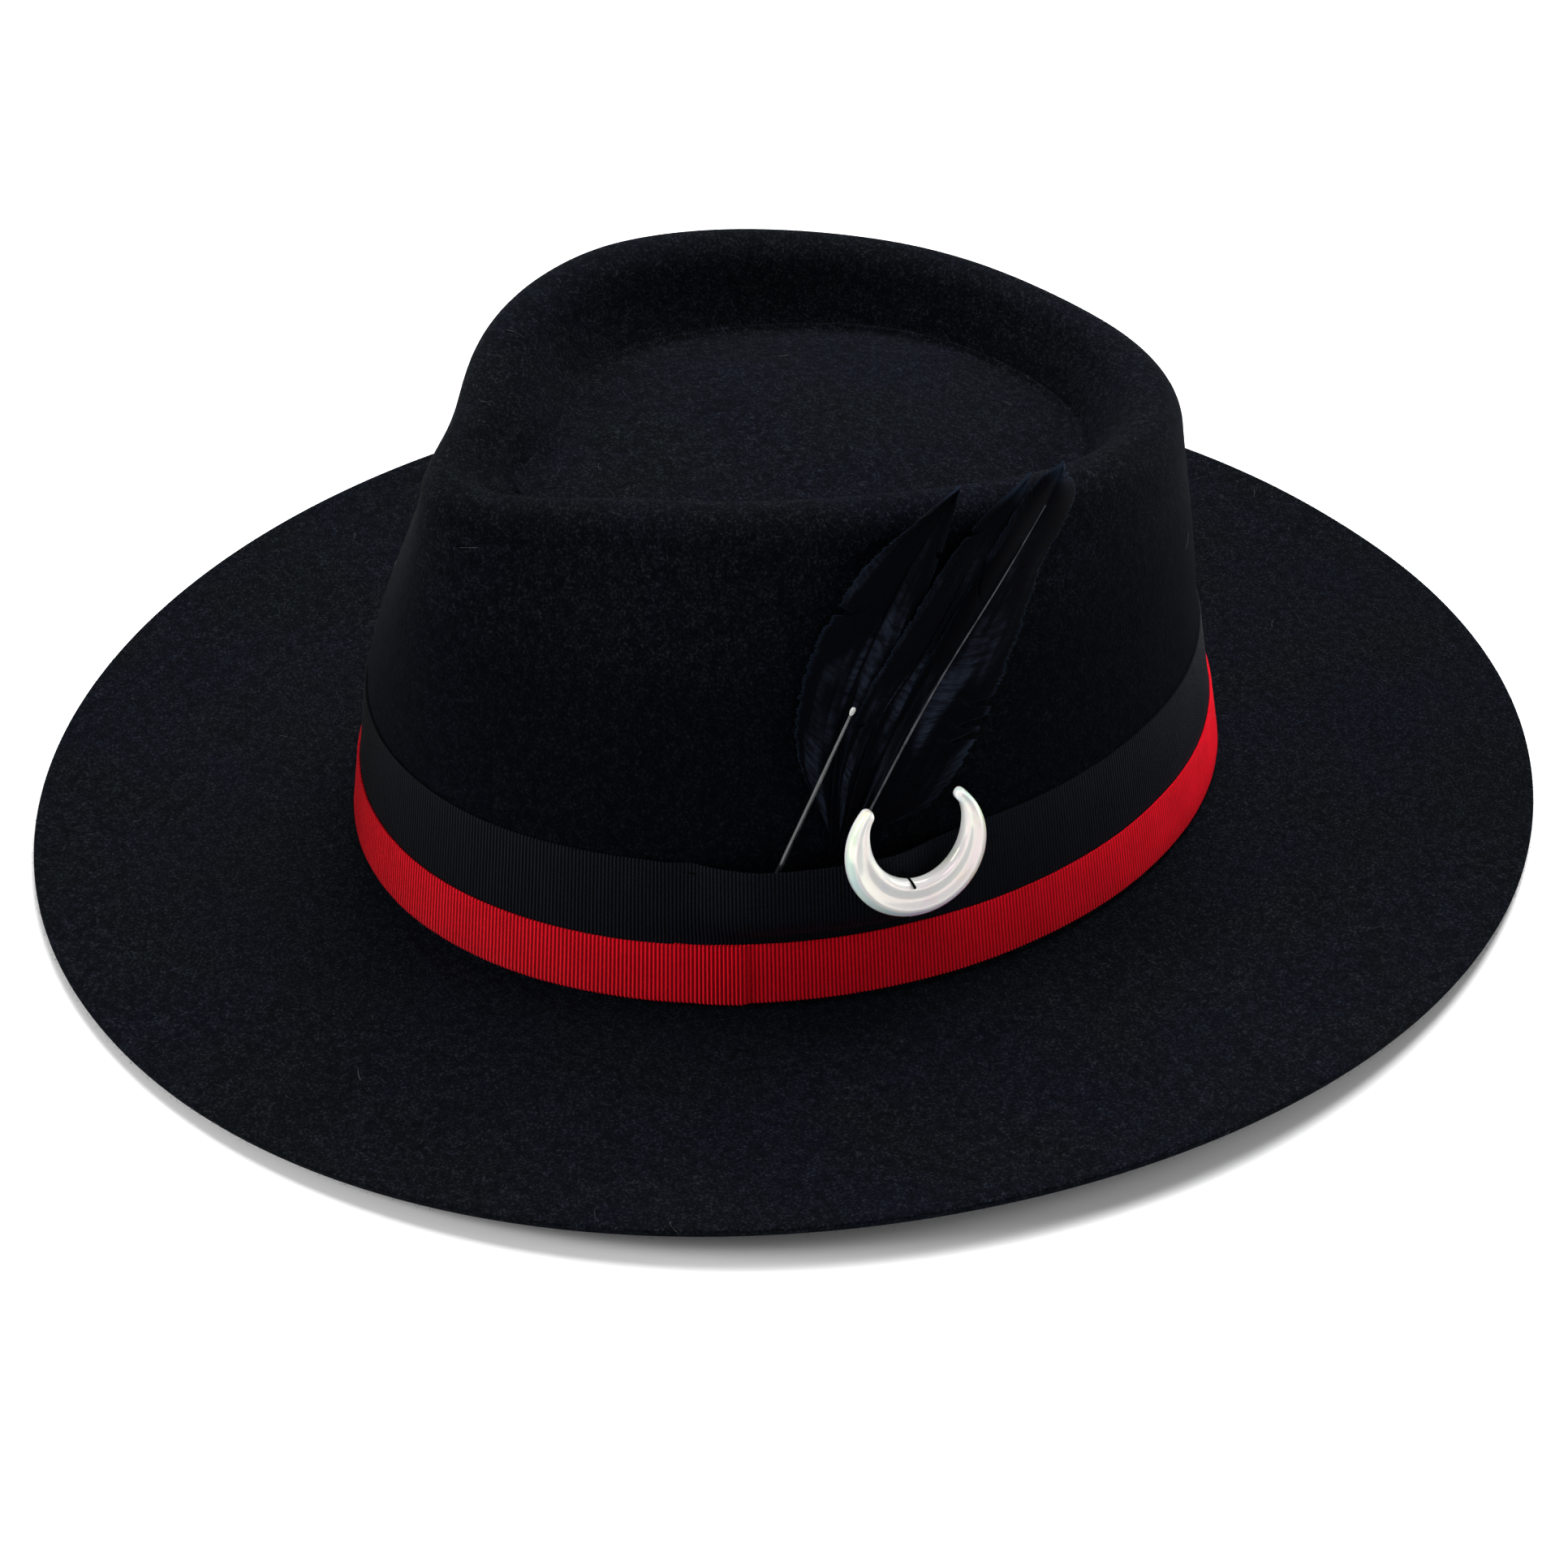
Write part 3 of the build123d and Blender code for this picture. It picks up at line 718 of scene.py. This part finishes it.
def ribbed_band(name, ribs, span, heights, lift, finish, swell=0.16):
    """A ribbon round the crown: four columns to a rib, whose ends stand out as tiny loops.

    span is its first and last rib; lift(angle, height) is how far it stands off the felt.
    """
    rows = len(heights) - 1
    columns = (span[1] - span[0]) * 4
    swells = (0.0, 0.75, 1.0, 0.75)

    def place(u, v):
        step = round(u * columns)
        angle = (span[0] + step / 4) / ribs * tau
        rib = swells[step % 4]
        row = round(v * rows)
        height = heights[row]
        edge = {0: -1, rows: 1}.get(row, 0)
        ring = Vector((cos(angle) * 5, sin(angle) * 5, height * 30))
        loose = noise.noise(ring) * 0.12 + noise.noise(ring * 6) * 0.05
        out = lift(angle, height) + (rib * swell + loose - (0.1 if edge else 0)) * MM
        rise = edge * rib * 0.22 + (0.25 * noise.noise(ring * 0.6) if edge > 0 else 0)
        return wall_spot(angle, height, out) + Vector((0, 0, rise * MM))

    band = shaped_grid(name, columns, rows, place)
    faces = band.data.polygons
    inward = sum(1 for face in faces if Vector((face.center.x, face.center.y, 0)).dot(face.normal) < 0)
    if inward > len(faces) / 2:
        flip_normals(band)
    mapping = band.data.uv_layers.active.data
    for loop in band.data.loops:
        corner = band.data.vertices[loop.vertex_index].co
        turn = atan2(corner.x, -(corner.y - HEAD_SHIFT_Y)) % tau / tau
        mapping[loop.index].uv = (turn, (corner.z - heights[0]) / (heights[-1] - heights[0]))
    modify(band, "SOLIDIFY", thickness=0.4 * MM, offset=-1.0, use_even_offset=False)
    smooth(band, 70)
    dress(band, finish)
    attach(band, "hat")
    return band


def wide_lift(angle, height):
    return 0.45 * MM + pocket(angle, height) - 0.5 * MM * pucker(angle, height)


def lap_lift(angle, height):
    """The folded end lies on the narrow ribbon and sinks into it away from the fold."""
    back = (radians(LAP_ANGLE) - angle) * 0.099 / LAP_LENGTH
    return (1.75 - 0.95 * max(0.0, back) ** 2 - 0.45 * exp(-((back / 0.02) ** 2))) * MM


WIDE_HEIGHTS_MM = (4.2, 4.5, 10, 18, 18.8, 20.5, 23, 26, 29, 32, 35, 38.0, 38.4)
WIDE_HEIGHTS = [height * MM for height in WIDE_HEIGHTS_MM]
NARROW_HEIGHTS = [height * MM for height in (4.2, 4.5, 9, 14, 18.1, 18.4)]
WHOLE_WIDE = (0, RIB_COUNT_WIDE)
WHOLE_NARROW = (0, RIB_COUNT_NARROW)
LAP_WIDE_ANGLE = 9.5
LAP_RIBS = (
    round((LAP_ANGLE - LAP_WIDE_ANGLE) / 360 * RIB_COUNT_NARROW),
    round(LAP_ANGLE / 360 * RIB_COUNT_NARROW),
)
wide_ribbon = ribbed_band(
    "wide_ribbon_cloth", RIB_COUNT_WIDE, WHOLE_WIDE, WIDE_HEIGHTS,
    wide_lift, dark_grosgrain, 0.2)
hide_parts("wide_ribbon")
narrow_ribbon = ribbed_band(
    "narrow_ribbon_cloth", RIB_COUNT_NARROW, WHOLE_NARROW, NARROW_HEIGHTS,
    lambda angle, height: 1.15 * MM, red_grosgrain)
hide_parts("narrow_ribbon")
ribbon_end = ribbed_band(
    "narrow_ribbon_lap", RIB_COUNT_NARROW, LAP_RIBS, NARROW_HEIGHTS,
    lap_lift, red_grosgrain, 0.26)
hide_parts("narrow_ribbon_end")

# ---------------------------------------------------------------- feathers
side_turn = radians(SIDE_ANGLE)
side_level = Vector((sin(side_turn) / HEAD_HALF_X ** 2, -cos(side_turn) / HEAD_HALF_Y ** 2, 0))
side_level.normalize()
SIDE_OUT = side_level * cos(radians(SIDE_LEAN)) + Vector((0, 0, sin(radians(SIDE_LEAN))))
SIDE_ALONG = Vector((-side_level.y, side_level.x, 0))
SIDE_UP = SIDE_OUT.cross(SIDE_ALONG)
SIDE_CLEAR = 2.3 * MM
SIDE_ORIGIN = wall_spot(side_turn, WALL_TURN_Z, SIDE_CLEAR)


# half the share of a feather's length that a gap between its barbs takes up
SPLIT_HALF = 0.011


def side_spot(x, y, out=0.0):
    """Point on the curve that the feathers follow: x along the ribbon, y up, out from the felt, mm."""
    radius = SIDE_RADIUS + out * MM
    x = x * MM
    depth = sqrt(radius ** 2 - x ** 2) - SIDE_RADIUS
    return SIDE_ORIGIN + SIDE_ALONG * x + SIDE_UP * (y * MM) + SIDE_OUT * depth


def make_feather(name, node, layer, foot_x, shaft, base, left, tip, right, splits, horn, seed):
    """A feather: two vanes of fine barbs, ragged at their edges, on a tapered shaft.

    shaft, left and right are points on its middle and edges from base to tip, in mm; splits are
    the side and the place along it of each gap between its barbs.
    """
    rows, columns = 420, 20
    shaft_line = smooth_path([(*point, 0) for point in [base, *shaft, tip]], rows)
    left_line = smooth_path([(*point, 0) for point in [base, *left, tip]], rows)
    right_line = smooth_path([(*point, 0) for point in [base, *right, tip]], rows)
    draw = random.Random(seed)
    ragged = [draw.uniform(-1, 1) for _ in range(rows + 1)]

    def place(u, v):
        row = round(v * rows)
        side = u * 2 - 1
        away = abs(side)
        lag = min(rows, max(0, row - round(away * 30)))
        edge = (left_line if side < 0 else right_line)[row]
        middle = shaft_line[lag]
        near = [abs(v - s) for where, s in splits if where * side > 0 and abs(v - s) < SPLIT_HALF]
        gap = max((1 - far / SPLIT_HALF for far in near), default=0)
        frayed = 0.03 * ragged[row] + 0.03 * ragged[row // 5]
        reach = away * (1 + frayed * away ** 3 * min(1.0, 12 * (1 - v)) - 0.45 * gap * away ** 2)
        point = middle.lerp(edge, min(reach, 1.06))
        waves = 0.35 * noise.noise(Vector((point.x / 9, point.y / 16, layer * 7.3))) * away
        barb = sin(row * 2.1) * 0.035
        camber = 1.3 * away * (1 - away) - 0.5 * away ** 2
        out = layer * 0.9 + camber + waves + barb - 0.3 * gap * away
        return side_spot(point.x, point.y, out)

    vane = shaped_grid(name, columns, rows, place, merge=2e-6)
    if vane.data.polygons[len(vane.data.polygons) // 2].normal.dot(SIDE_OUT) < 0:
        flip_normals(vane)
    modify(vane, "SOLIDIFY", thickness=0.12 * MM, offset=0.0)
    smooth(vane, 80)
    dress(vane, feather_barbs)
    line = [side_spot(foot_x, -12.5, layer * 0.9), side_spot(foot_x, -3, layer * 0.9)]
    line += [side_spot(*point, layer * 0.9 + 0.25) for point in shaft[:-1]]
    line.append(side_spot(*shaft[-1], layer * 0.9 + 0.1))
    rod = tube(name + "_shaft", line, lambda way: (0.44 - 0.34 * way) * MM, sides=10, steps=80)
    dress(rod, horn)
    feather = join(name, [vane, rod])
    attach(feather, "feathers")
    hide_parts(node)
    return feather


make_feather(
    "feather_rear_plume", "feather_rear", -1, -13.3,
    [(-9.0, 28.0), (4.0, 55.0), (17.5, 73.5)], (-13, 3),
    [(-18.8, 23.5), (-15, 43), (-3.5, 61.5), (10, 71)], (21, 77),
    [(-6, 16), (6, 42), (17, 66)], [(-1, 0.52), (1, 0.7)], dark_horn, 5,
)
make_feather(
    "feather_middle_plume", "feather_middle", 0, -11.5,
    [(-3.0, 24.0), (12.0, 44.0), (26.5, 65.5)], (-11, 3),
    [(-10, 17), (-4, 33), (8, 50), (22, 66)], (38, 75.5),
    [(0, 12), (18, 36), (33, 60)], [(-1, 0.34), (1, 0.6), (-1, 0.8)], dark_horn, 11,
)
make_feather(
    "feather_front_plume", "feather_front", 1, -9.7,
    [(-4.0, 8.5), (11.8, 33.2), (28.6, 53.5), (41.0, 67.5)], (-8.5, 3),
    [(5, 31), (22, 55), (36, 71)], (46.5, 75.5),
    [(8, 5), (20, 17), (30, 33.5), (40, 54), (49, 66)],
    [(1, 0.36), (1, 0.39), (1, 0.43), (-1, 0.55), (1, 0.93), (1, 0.96)], pale_horn, 23,
)

# ---------------------------------------------------------------- quill
QUILL_FOOT = Vector((-27.0, -9.5, -3.7)) * MM
QUILL_TIP = Vector((-8.3, 34.4, 5.5)) * MM


def side_local(point):
    """Point given along the ribbon, up, and out from the feathers' origin."""
    return SIDE_ORIGIN + SIDE_ALONG * point.x + SIDE_UP * point.y + SIDE_OUT * point.z


quill_run = (side_local(QUILL_TIP) - side_local(QUILL_FOOT)).normalized()
quill_line = [side_local(QUILL_FOOT.lerp(QUILL_TIP, way)) for way in (0, 0.35, 0.7, 1.0)]
quill_rod = tube("quill_rod", quill_line, lambda way: (0.64 - 0.28 * way) * MM, 16, 60)
dress(quill_rod, quill_horn)
bulb_line = [quill_line[-1] + quill_run * along * MM for along in (-1.1, -0.4, 0.2, 0.7)]
quill_bulb = tube("quill_bulb", bulb_line, lambda way: (0.36 + 0.2 * sin(pi * way)) * MM, 14, 14)
dress(quill_bulb, quill_pith)
quill = join("quill_stem", [quill_rod, quill_bulb])
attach(quill, "quill")
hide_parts("stripped_quill")

# ---------------------------------------------------------------- moon bead
MOON_TURN = radians(4)
MOON_OUT = SIDE_OUT * cos(MOON_TURN) + SIDE_ALONG * sin(MOON_TURN)
MOON_ALONG = SIDE_ALONG * cos(MOON_TURN) - SIDE_OUT * sin(MOON_TURN)
MOON_ORIGIN = side_local(Vector((2.1, -10.4, 5.6)) * MM)
MOON_UP = MOON_OUT.cross(MOON_ALONG)
# the crescent is a round disc with an oval bitten out of it, in mm and degrees
MOON_CENTRE = (1.9, 9.4)
MOON_RADIUS = 16.4
MOON_FIRST_HORN = 131
MOON_SWEEP = 278
BITE_CENTRE = (2.1, 14.9)
BITE_HALF_X = 11.2
BITE_HALF_Y = 13.2
HORN_WIDTH = 2.5


def moon_spot(x, y, out):
    """Point across, up and out on the bead's own face, in mm."""
    return MOON_ORIGIN + (MOON_ALONG * x + MOON_UP * y + MOON_OUT * out) * MM


def moon_section(turn):
    """Cross-section of the bead: a round back, an outer bevel, a ridge, and a dip inside it."""
    side = abs(cos(turn)) ** 0.8 * (1 if cos(turn) > 0 else -1)
    if sin(turn) < 0:
        return side, -2.2 * abs(sin(turn)) ** 0.8
    roof = 2.5 * abs(sin(turn)) ** 0.55
    dip = 0.55 * exp(-(((side + 0.12) / 0.38) ** 2))
    ridge = 0.22 * exp(-(((side - 0.5) / 0.13) ** 2))
    bevel = 0.75 * max(0.0, side - 0.55)
    return side, roof - dip + ridge - bevel


def make_moon():
    """A crescent swept from horn to horn: a full back and a ridge along the front."""
    rows, columns = 150, 48

    def place(u, v):
        way = 0.5 - 0.5 * cos(pi * min(1.0, max(0.0, v)))
        turn = radians(MOON_FIRST_HORN + MOON_SWEEP * way)
        ray = (cos(turn), sin(turn))
        dx = MOON_CENTRE[0] - BITE_CENTRE[0]
        dy = MOON_CENTRE[1] - BITE_CENTRE[1]
        a = (ray[0] / BITE_HALF_X) ** 2 + (ray[1] / BITE_HALF_Y) ** 2
        b = 2 * (dx * ray[0] / BITE_HALF_X ** 2 + dy * ray[1] / BITE_HALF_Y ** 2)
        c = (dx / BITE_HALF_X) ** 2 + (dy / BITE_HALF_Y) ** 2 - 1
        reach = (-b + sqrt(b * b - 4 * a * c)) / (2 * a)
        width = MOON_RADIUS - reach
        width = 0.5 * (width + HORN_WIDTH + sqrt((width - HORN_WIDTH) ** 2 + 1.2))
        left = min(way, 1 - way) * radians(MOON_SWEEP) * 15.2
        cap = min(1.0, left / (width / 2))
        end = sqrt(1 - (1 - cap) ** 2)
        middle = MOON_RADIUS - width / 2
        side, front = moon_section(u * tau)
        across = middle + side * width / 2 * end
        out = front * end * min(1.0, 0.5 + width / 10)
        return moon_spot(MOON_CENTRE[0] + ray[0] * across, MOON_CENTRE[1] + ray[1] * across, out)

    moon = shaped_grid("moon_crescent", columns, rows, place, merge=2e-5)
    modify(moon, "SUBSURF", levels=1, render_levels=1)
    smooth(moon, 60)
    dress(moon, pearl_glass)
    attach(moon, "moon")
    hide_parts("moon_bead")
    return moon


make_moon()


# ---------------------------------------------------------------- threads
def stitched(name, node, paths, radius, body, sides=8, steps=14):
    """Threads along paths, thinner towards their ends, as one piece."""
    def thickness(way):
        return radius * (0.7 + 0.3 * sin(pi * way))

    piece = join(name, [tube(name, path, thickness, sides, steps) for path in paths])
    dress(piece, sewing_thread)
    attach(piece, body)
    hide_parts(node)
    return piece


MOON_STITCH = (
    (0.3, 0.7, -6.5),
    (0.3, 0.7, 0.5),
    (0.25, 0.9, 2.4),
    (0.05, 1.5, 2.2),
    (-0.1, 2.1, 0.4),
    (-0.2, 2.4, -6.5),
)
moon_path = [moon_spot(*point) for point in MOON_STITCH]
stitched("moon_tie", "moon_thread", [moon_path], 0.3 * MM, "hat", 10, 60)

tack_paths = []
for degrees_round in (PUCKER_ANGLE, 140, 180, 220, 310):
    around = radians(degrees_round)
    path = []
    for share in (-1, -0.8, 0, 0.8, 1):
        turn = around + share * 0.011
        height = WIDE_TOP_Z - 2.1 * MM
        path.append(wall_spot(turn, height, wide_lift(turn, height) + (0.25 - 0.9 * share ** 8) * MM))
    tack_paths.append(path)
stitched("ribbon_tack_stitches", "ribbon_tacks", tack_paths, 0.2 * MM, "hat")

BIND_TURNS = 11
BIND_STEPS = 160
bind_path = []
for step in range(BIND_STEPS + 1):
    turn = step / BIND_STEPS * tau * BIND_TURNS
    rise = step / BIND_STEPS * 4.4
    bind_path.append(side_spot(-11.5 + 2.75 * cos(turn), -10.2 + rise, 1.62 * sin(turn)))
stitched("feather_whipping", "feather_binding", [bind_path], 0.24 * MM, "feathers", 6, 320)

SEAM_STITCHES = 96
stitch_paths = []
for number in range(SEAM_STITCHES):
    around = (number + 0.5) / SEAM_STITCHES * tau
    path = []
    for share in (-1, -0.7, 0, 0.7, 1):
        turn = around + share * 0.0155
        path.append(spot(turn, head_radius(turn) - (4.42 - 0.5 * share ** 8) * MM, 2.6 * MM))
    stitch_paths.append(path)
stitched("sweatband_seam", "sweatband_stitches", stitch_paths, 0.2 * MM, "hat", 6, 8)


# ---------------------------------------------------------------- sweatband
def ring_piece(name, columns, section, node, finish):
    """A closed ring swept round the head opening; section(angle, way) gives a radius and a height."""
    rows = 16

    def place(u, v):
        angle = u * tau
        radius, height = section(angle, v)
        return spot(angle, radius, height)

    piece = shaped_grid(name, columns, rows, place)
    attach(piece, "hat")
    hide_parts(node)
    dress(piece, finish)
    return piece


# how far inside the wall the leather stands, and the bow's height in mm
BAND_INSET = 3.9 * MM
BOW_Z = 30


def band_section(angle, way):
    """The sweatband's leather, which stands up the inside of the wall and waves a little."""
    height = (0.3 + 36.7 * way) * MM
    stand = -BAND_INSET + 0.88 * MM * min(1.0, way * 4)
    wave = noise.noise(Vector((cos(angle) * 3, sin(angle) * 3, way * 1.5))) * 0.3 * MM * way
    return head_radius(angle) - lean(height) + stand + wave - 0.15 * MM, height


sweatband = ring_piece("sweatband_skin", 240, band_section, "sweatband", sweatband_leather)
modify(sweatband, "SOLIDIFY", thickness=0.7 * MM, offset=0.0, use_even_offset=False)
modify(sweatband, "BEVEL", width=0.2 * MM, segments=2, limit_method="ANGLE", angle_limit=radians(50))
smooth(sweatband, 50)


def reed_section(angle, way):
    """The round cord along the sweatband's foot."""
    turn = way * tau
    return head_radius(angle) + (-2.75 + 0.62 * cos(turn)) * MM, (1.0 + 0.62 * sin(turn)) * MM


reed = ring_piece("sweatband_reed_tape", 300, reed_section, "sweatband_reed", reed_tape)
smooth(reed, 60)


def bow_path(turn):
    """Figure of eight of the bow, lying on the sweatband's inner face at the back."""
    return Vector((9 * MM * sin(turn), 0, (BOW_Z + 3.0 * sin(2 * turn)) * MM))


def bow_spot(x, z, out):
    """Point x along the back of the sweatband, at a height, and out from its leather."""
    angle = pi - x / HEAD_HALF_Y
    radius = head_radius(angle) - lean(z) - BAND_INSET - out
    return spot(angle, radius, z)


def make_bow():
    """Two flat loops, a knot and two notched tails."""
    steps = 72

    def place(u, v):
        turn = v * tau
        centre = bow_path(turn)
        width = (2.6 - 1.3 * exp(-((sin(turn) / 0.25) ** 2))) * MM
        lift = (0.75 + 0.3 * cos(turn)) * MM
        return bow_spot(centre.x, centre.z + (u - 0.5) * width, lift)

    loops = shaped_grid("bow_loops", 6, steps, place)
    modify(loops, "SOLIDIFY", thickness=0.25 * MM, offset=0.0)

    def knot_place(u, v):
        across, over = u * tau, v * pi
        rise = (BOW_Z - 2.2 * cos(over)) * MM
        out = (1.2 + 0.8 * sin(over) * sin(across)) * MM
        return bow_spot(1.6 * MM * sin(over) * cos(across), rise, out)

    knot = shaped_grid("bow_knot", 16, 10, knot_place, merge=2e-5)
    tails = []
    for side in (-1, 1):
        def tail_place(u, v, side=side):
            notch = 0.8 * MM * (1 - abs(2 * u - 1)) * (1 if v > 0.99 else 0)
            rise = (29.2 - 5.2 * v) * MM + (u - 0.5) * 2.4 * MM + notch
            return bow_spot(side * (1.0 + 4.6 * v) * MM, rise, 0.9 * MM)

        tail = shaped_grid("bow_tail", 4, 8, tail_place)
        modify(tail, "SOLIDIFY", thickness=0.25 * MM, offset=0.0)
        tails.append(tail)
    bow = join("sweatband_ribbon_bow", [loops, knot] + tails)
    smooth(bow, 60)
    dress(bow, dark_grosgrain)
    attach(bow, "hat")
    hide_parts("sweatband_bow")


make_bow()


# ---------------------------------------------------------------- stray fibres
def hairs(name, count, length, thickness, lift, finish, seed, wanted):
    """Fine curled hairs standing on the felt, three-sided and closed at both ends."""
    draw = random.Random(seed)
    felt = felt_hat.data
    faces = [face for face in felt.polygons if wanted(face)]
    sizes = [face.area for face in faces]
    corners, sides = [], []
    for face in draw.choices(faces, weights=sizes, k=count):
        normal = face.normal.copy()
        across = normal.orthogonal().normalized()
        aim_way = Matrix.Rotation(draw.uniform(0, tau), 3, normal) @ across
        bend = normal.cross(aim_way) * draw.uniform(-1.2, 1.2)
        span = draw.uniform(*length)
        rise = draw.uniform(*lift)
        pair = [felt.vertices[index].co for index in face.vertices]
        foot = pair[0].lerp(pair[1], draw.random()).lerp(pair[2], draw.random() * 0.6)
        foot -= normal * 0.03 * MM
        size = thickness * draw.uniform(0.7, 1.2)
        first = len(corners)
        for ring in range(5):
            way = ring / 4
            point = foot + (aim_way * way + bend * way * way * 0.5) * span
            point += normal * rise * sin(pi * min(1.0, way * draw.uniform(0.75, 0.85) + 0.1))
            for corner in range(3):
                turn = corner * tau / 3
                ray = normal * cos(turn) + normal.cross(aim_way) * sin(turn)
                corners.append(point + ray * size * (1.1 - way * 0.6))
        for ring in range(4):
            for corner in range(3):
                a = first + ring * 3 + corner
                b = first + ring * 3 + (corner + 1) % 3
                sides.append((a, b, b + 3, a + 3))
        sides.append((first + 2, first + 1, first))
        sides.append((first + 12, first + 13, first + 14))
    mesh = bpy.data.meshes.new(name)
    mesh.from_pydata(corners, [], sides)
    piece = bpy.data.objects.new(name, mesh)
    bpy.context.collection.objects.link(piece)
    in_edit_mode(piece, lambda: bpy.ops.mesh.normals_make_consistent(inside=False))
    dress(piece, finish)
    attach(piece, "hat")
    return piece


def outer_face(face):
    """True outside the hat and clear of its ribbons."""
    middle = face.center
    under = middle.z < 1.9 * MM and face.normal.z < -0.3
    inside = hypot(middle.x, middle.y) < 0.088 and middle.z < 0.085
    ribboned = middle.z < 0.040 and hypot(middle.x, middle.y) < 0.108
    return not (under or inside or ribboned)


def edge_face(face):
    middle = face.center
    return hypot(middle.x / BRIM_HALF_X, middle.y / BRIM_HALF_Y) > 0.985 and face.normal.z > -0.6


hairs(
    "felt_nap_hairs", 9000, (0.6 * MM, 2.2 * MM), 0.016 * MM,
    (0.02 * MM, 0.3 * MM), nap_fibre, 3, outer_face)
hairs(
    "brim_edge_hairs", 2600, (0.5 * MM, 1.5 * MM), 0.018 * MM,
    (0.2 * MM, 0.9 * MM), nap_fibre, 8, edge_face)
hairs(
    "lint_hairs", 70, (1.5 * MM, 5 * MM), 0.03 * MM,
    (0.05 * MM, 0.5 * MM), pale_lint, 21, outer_face)
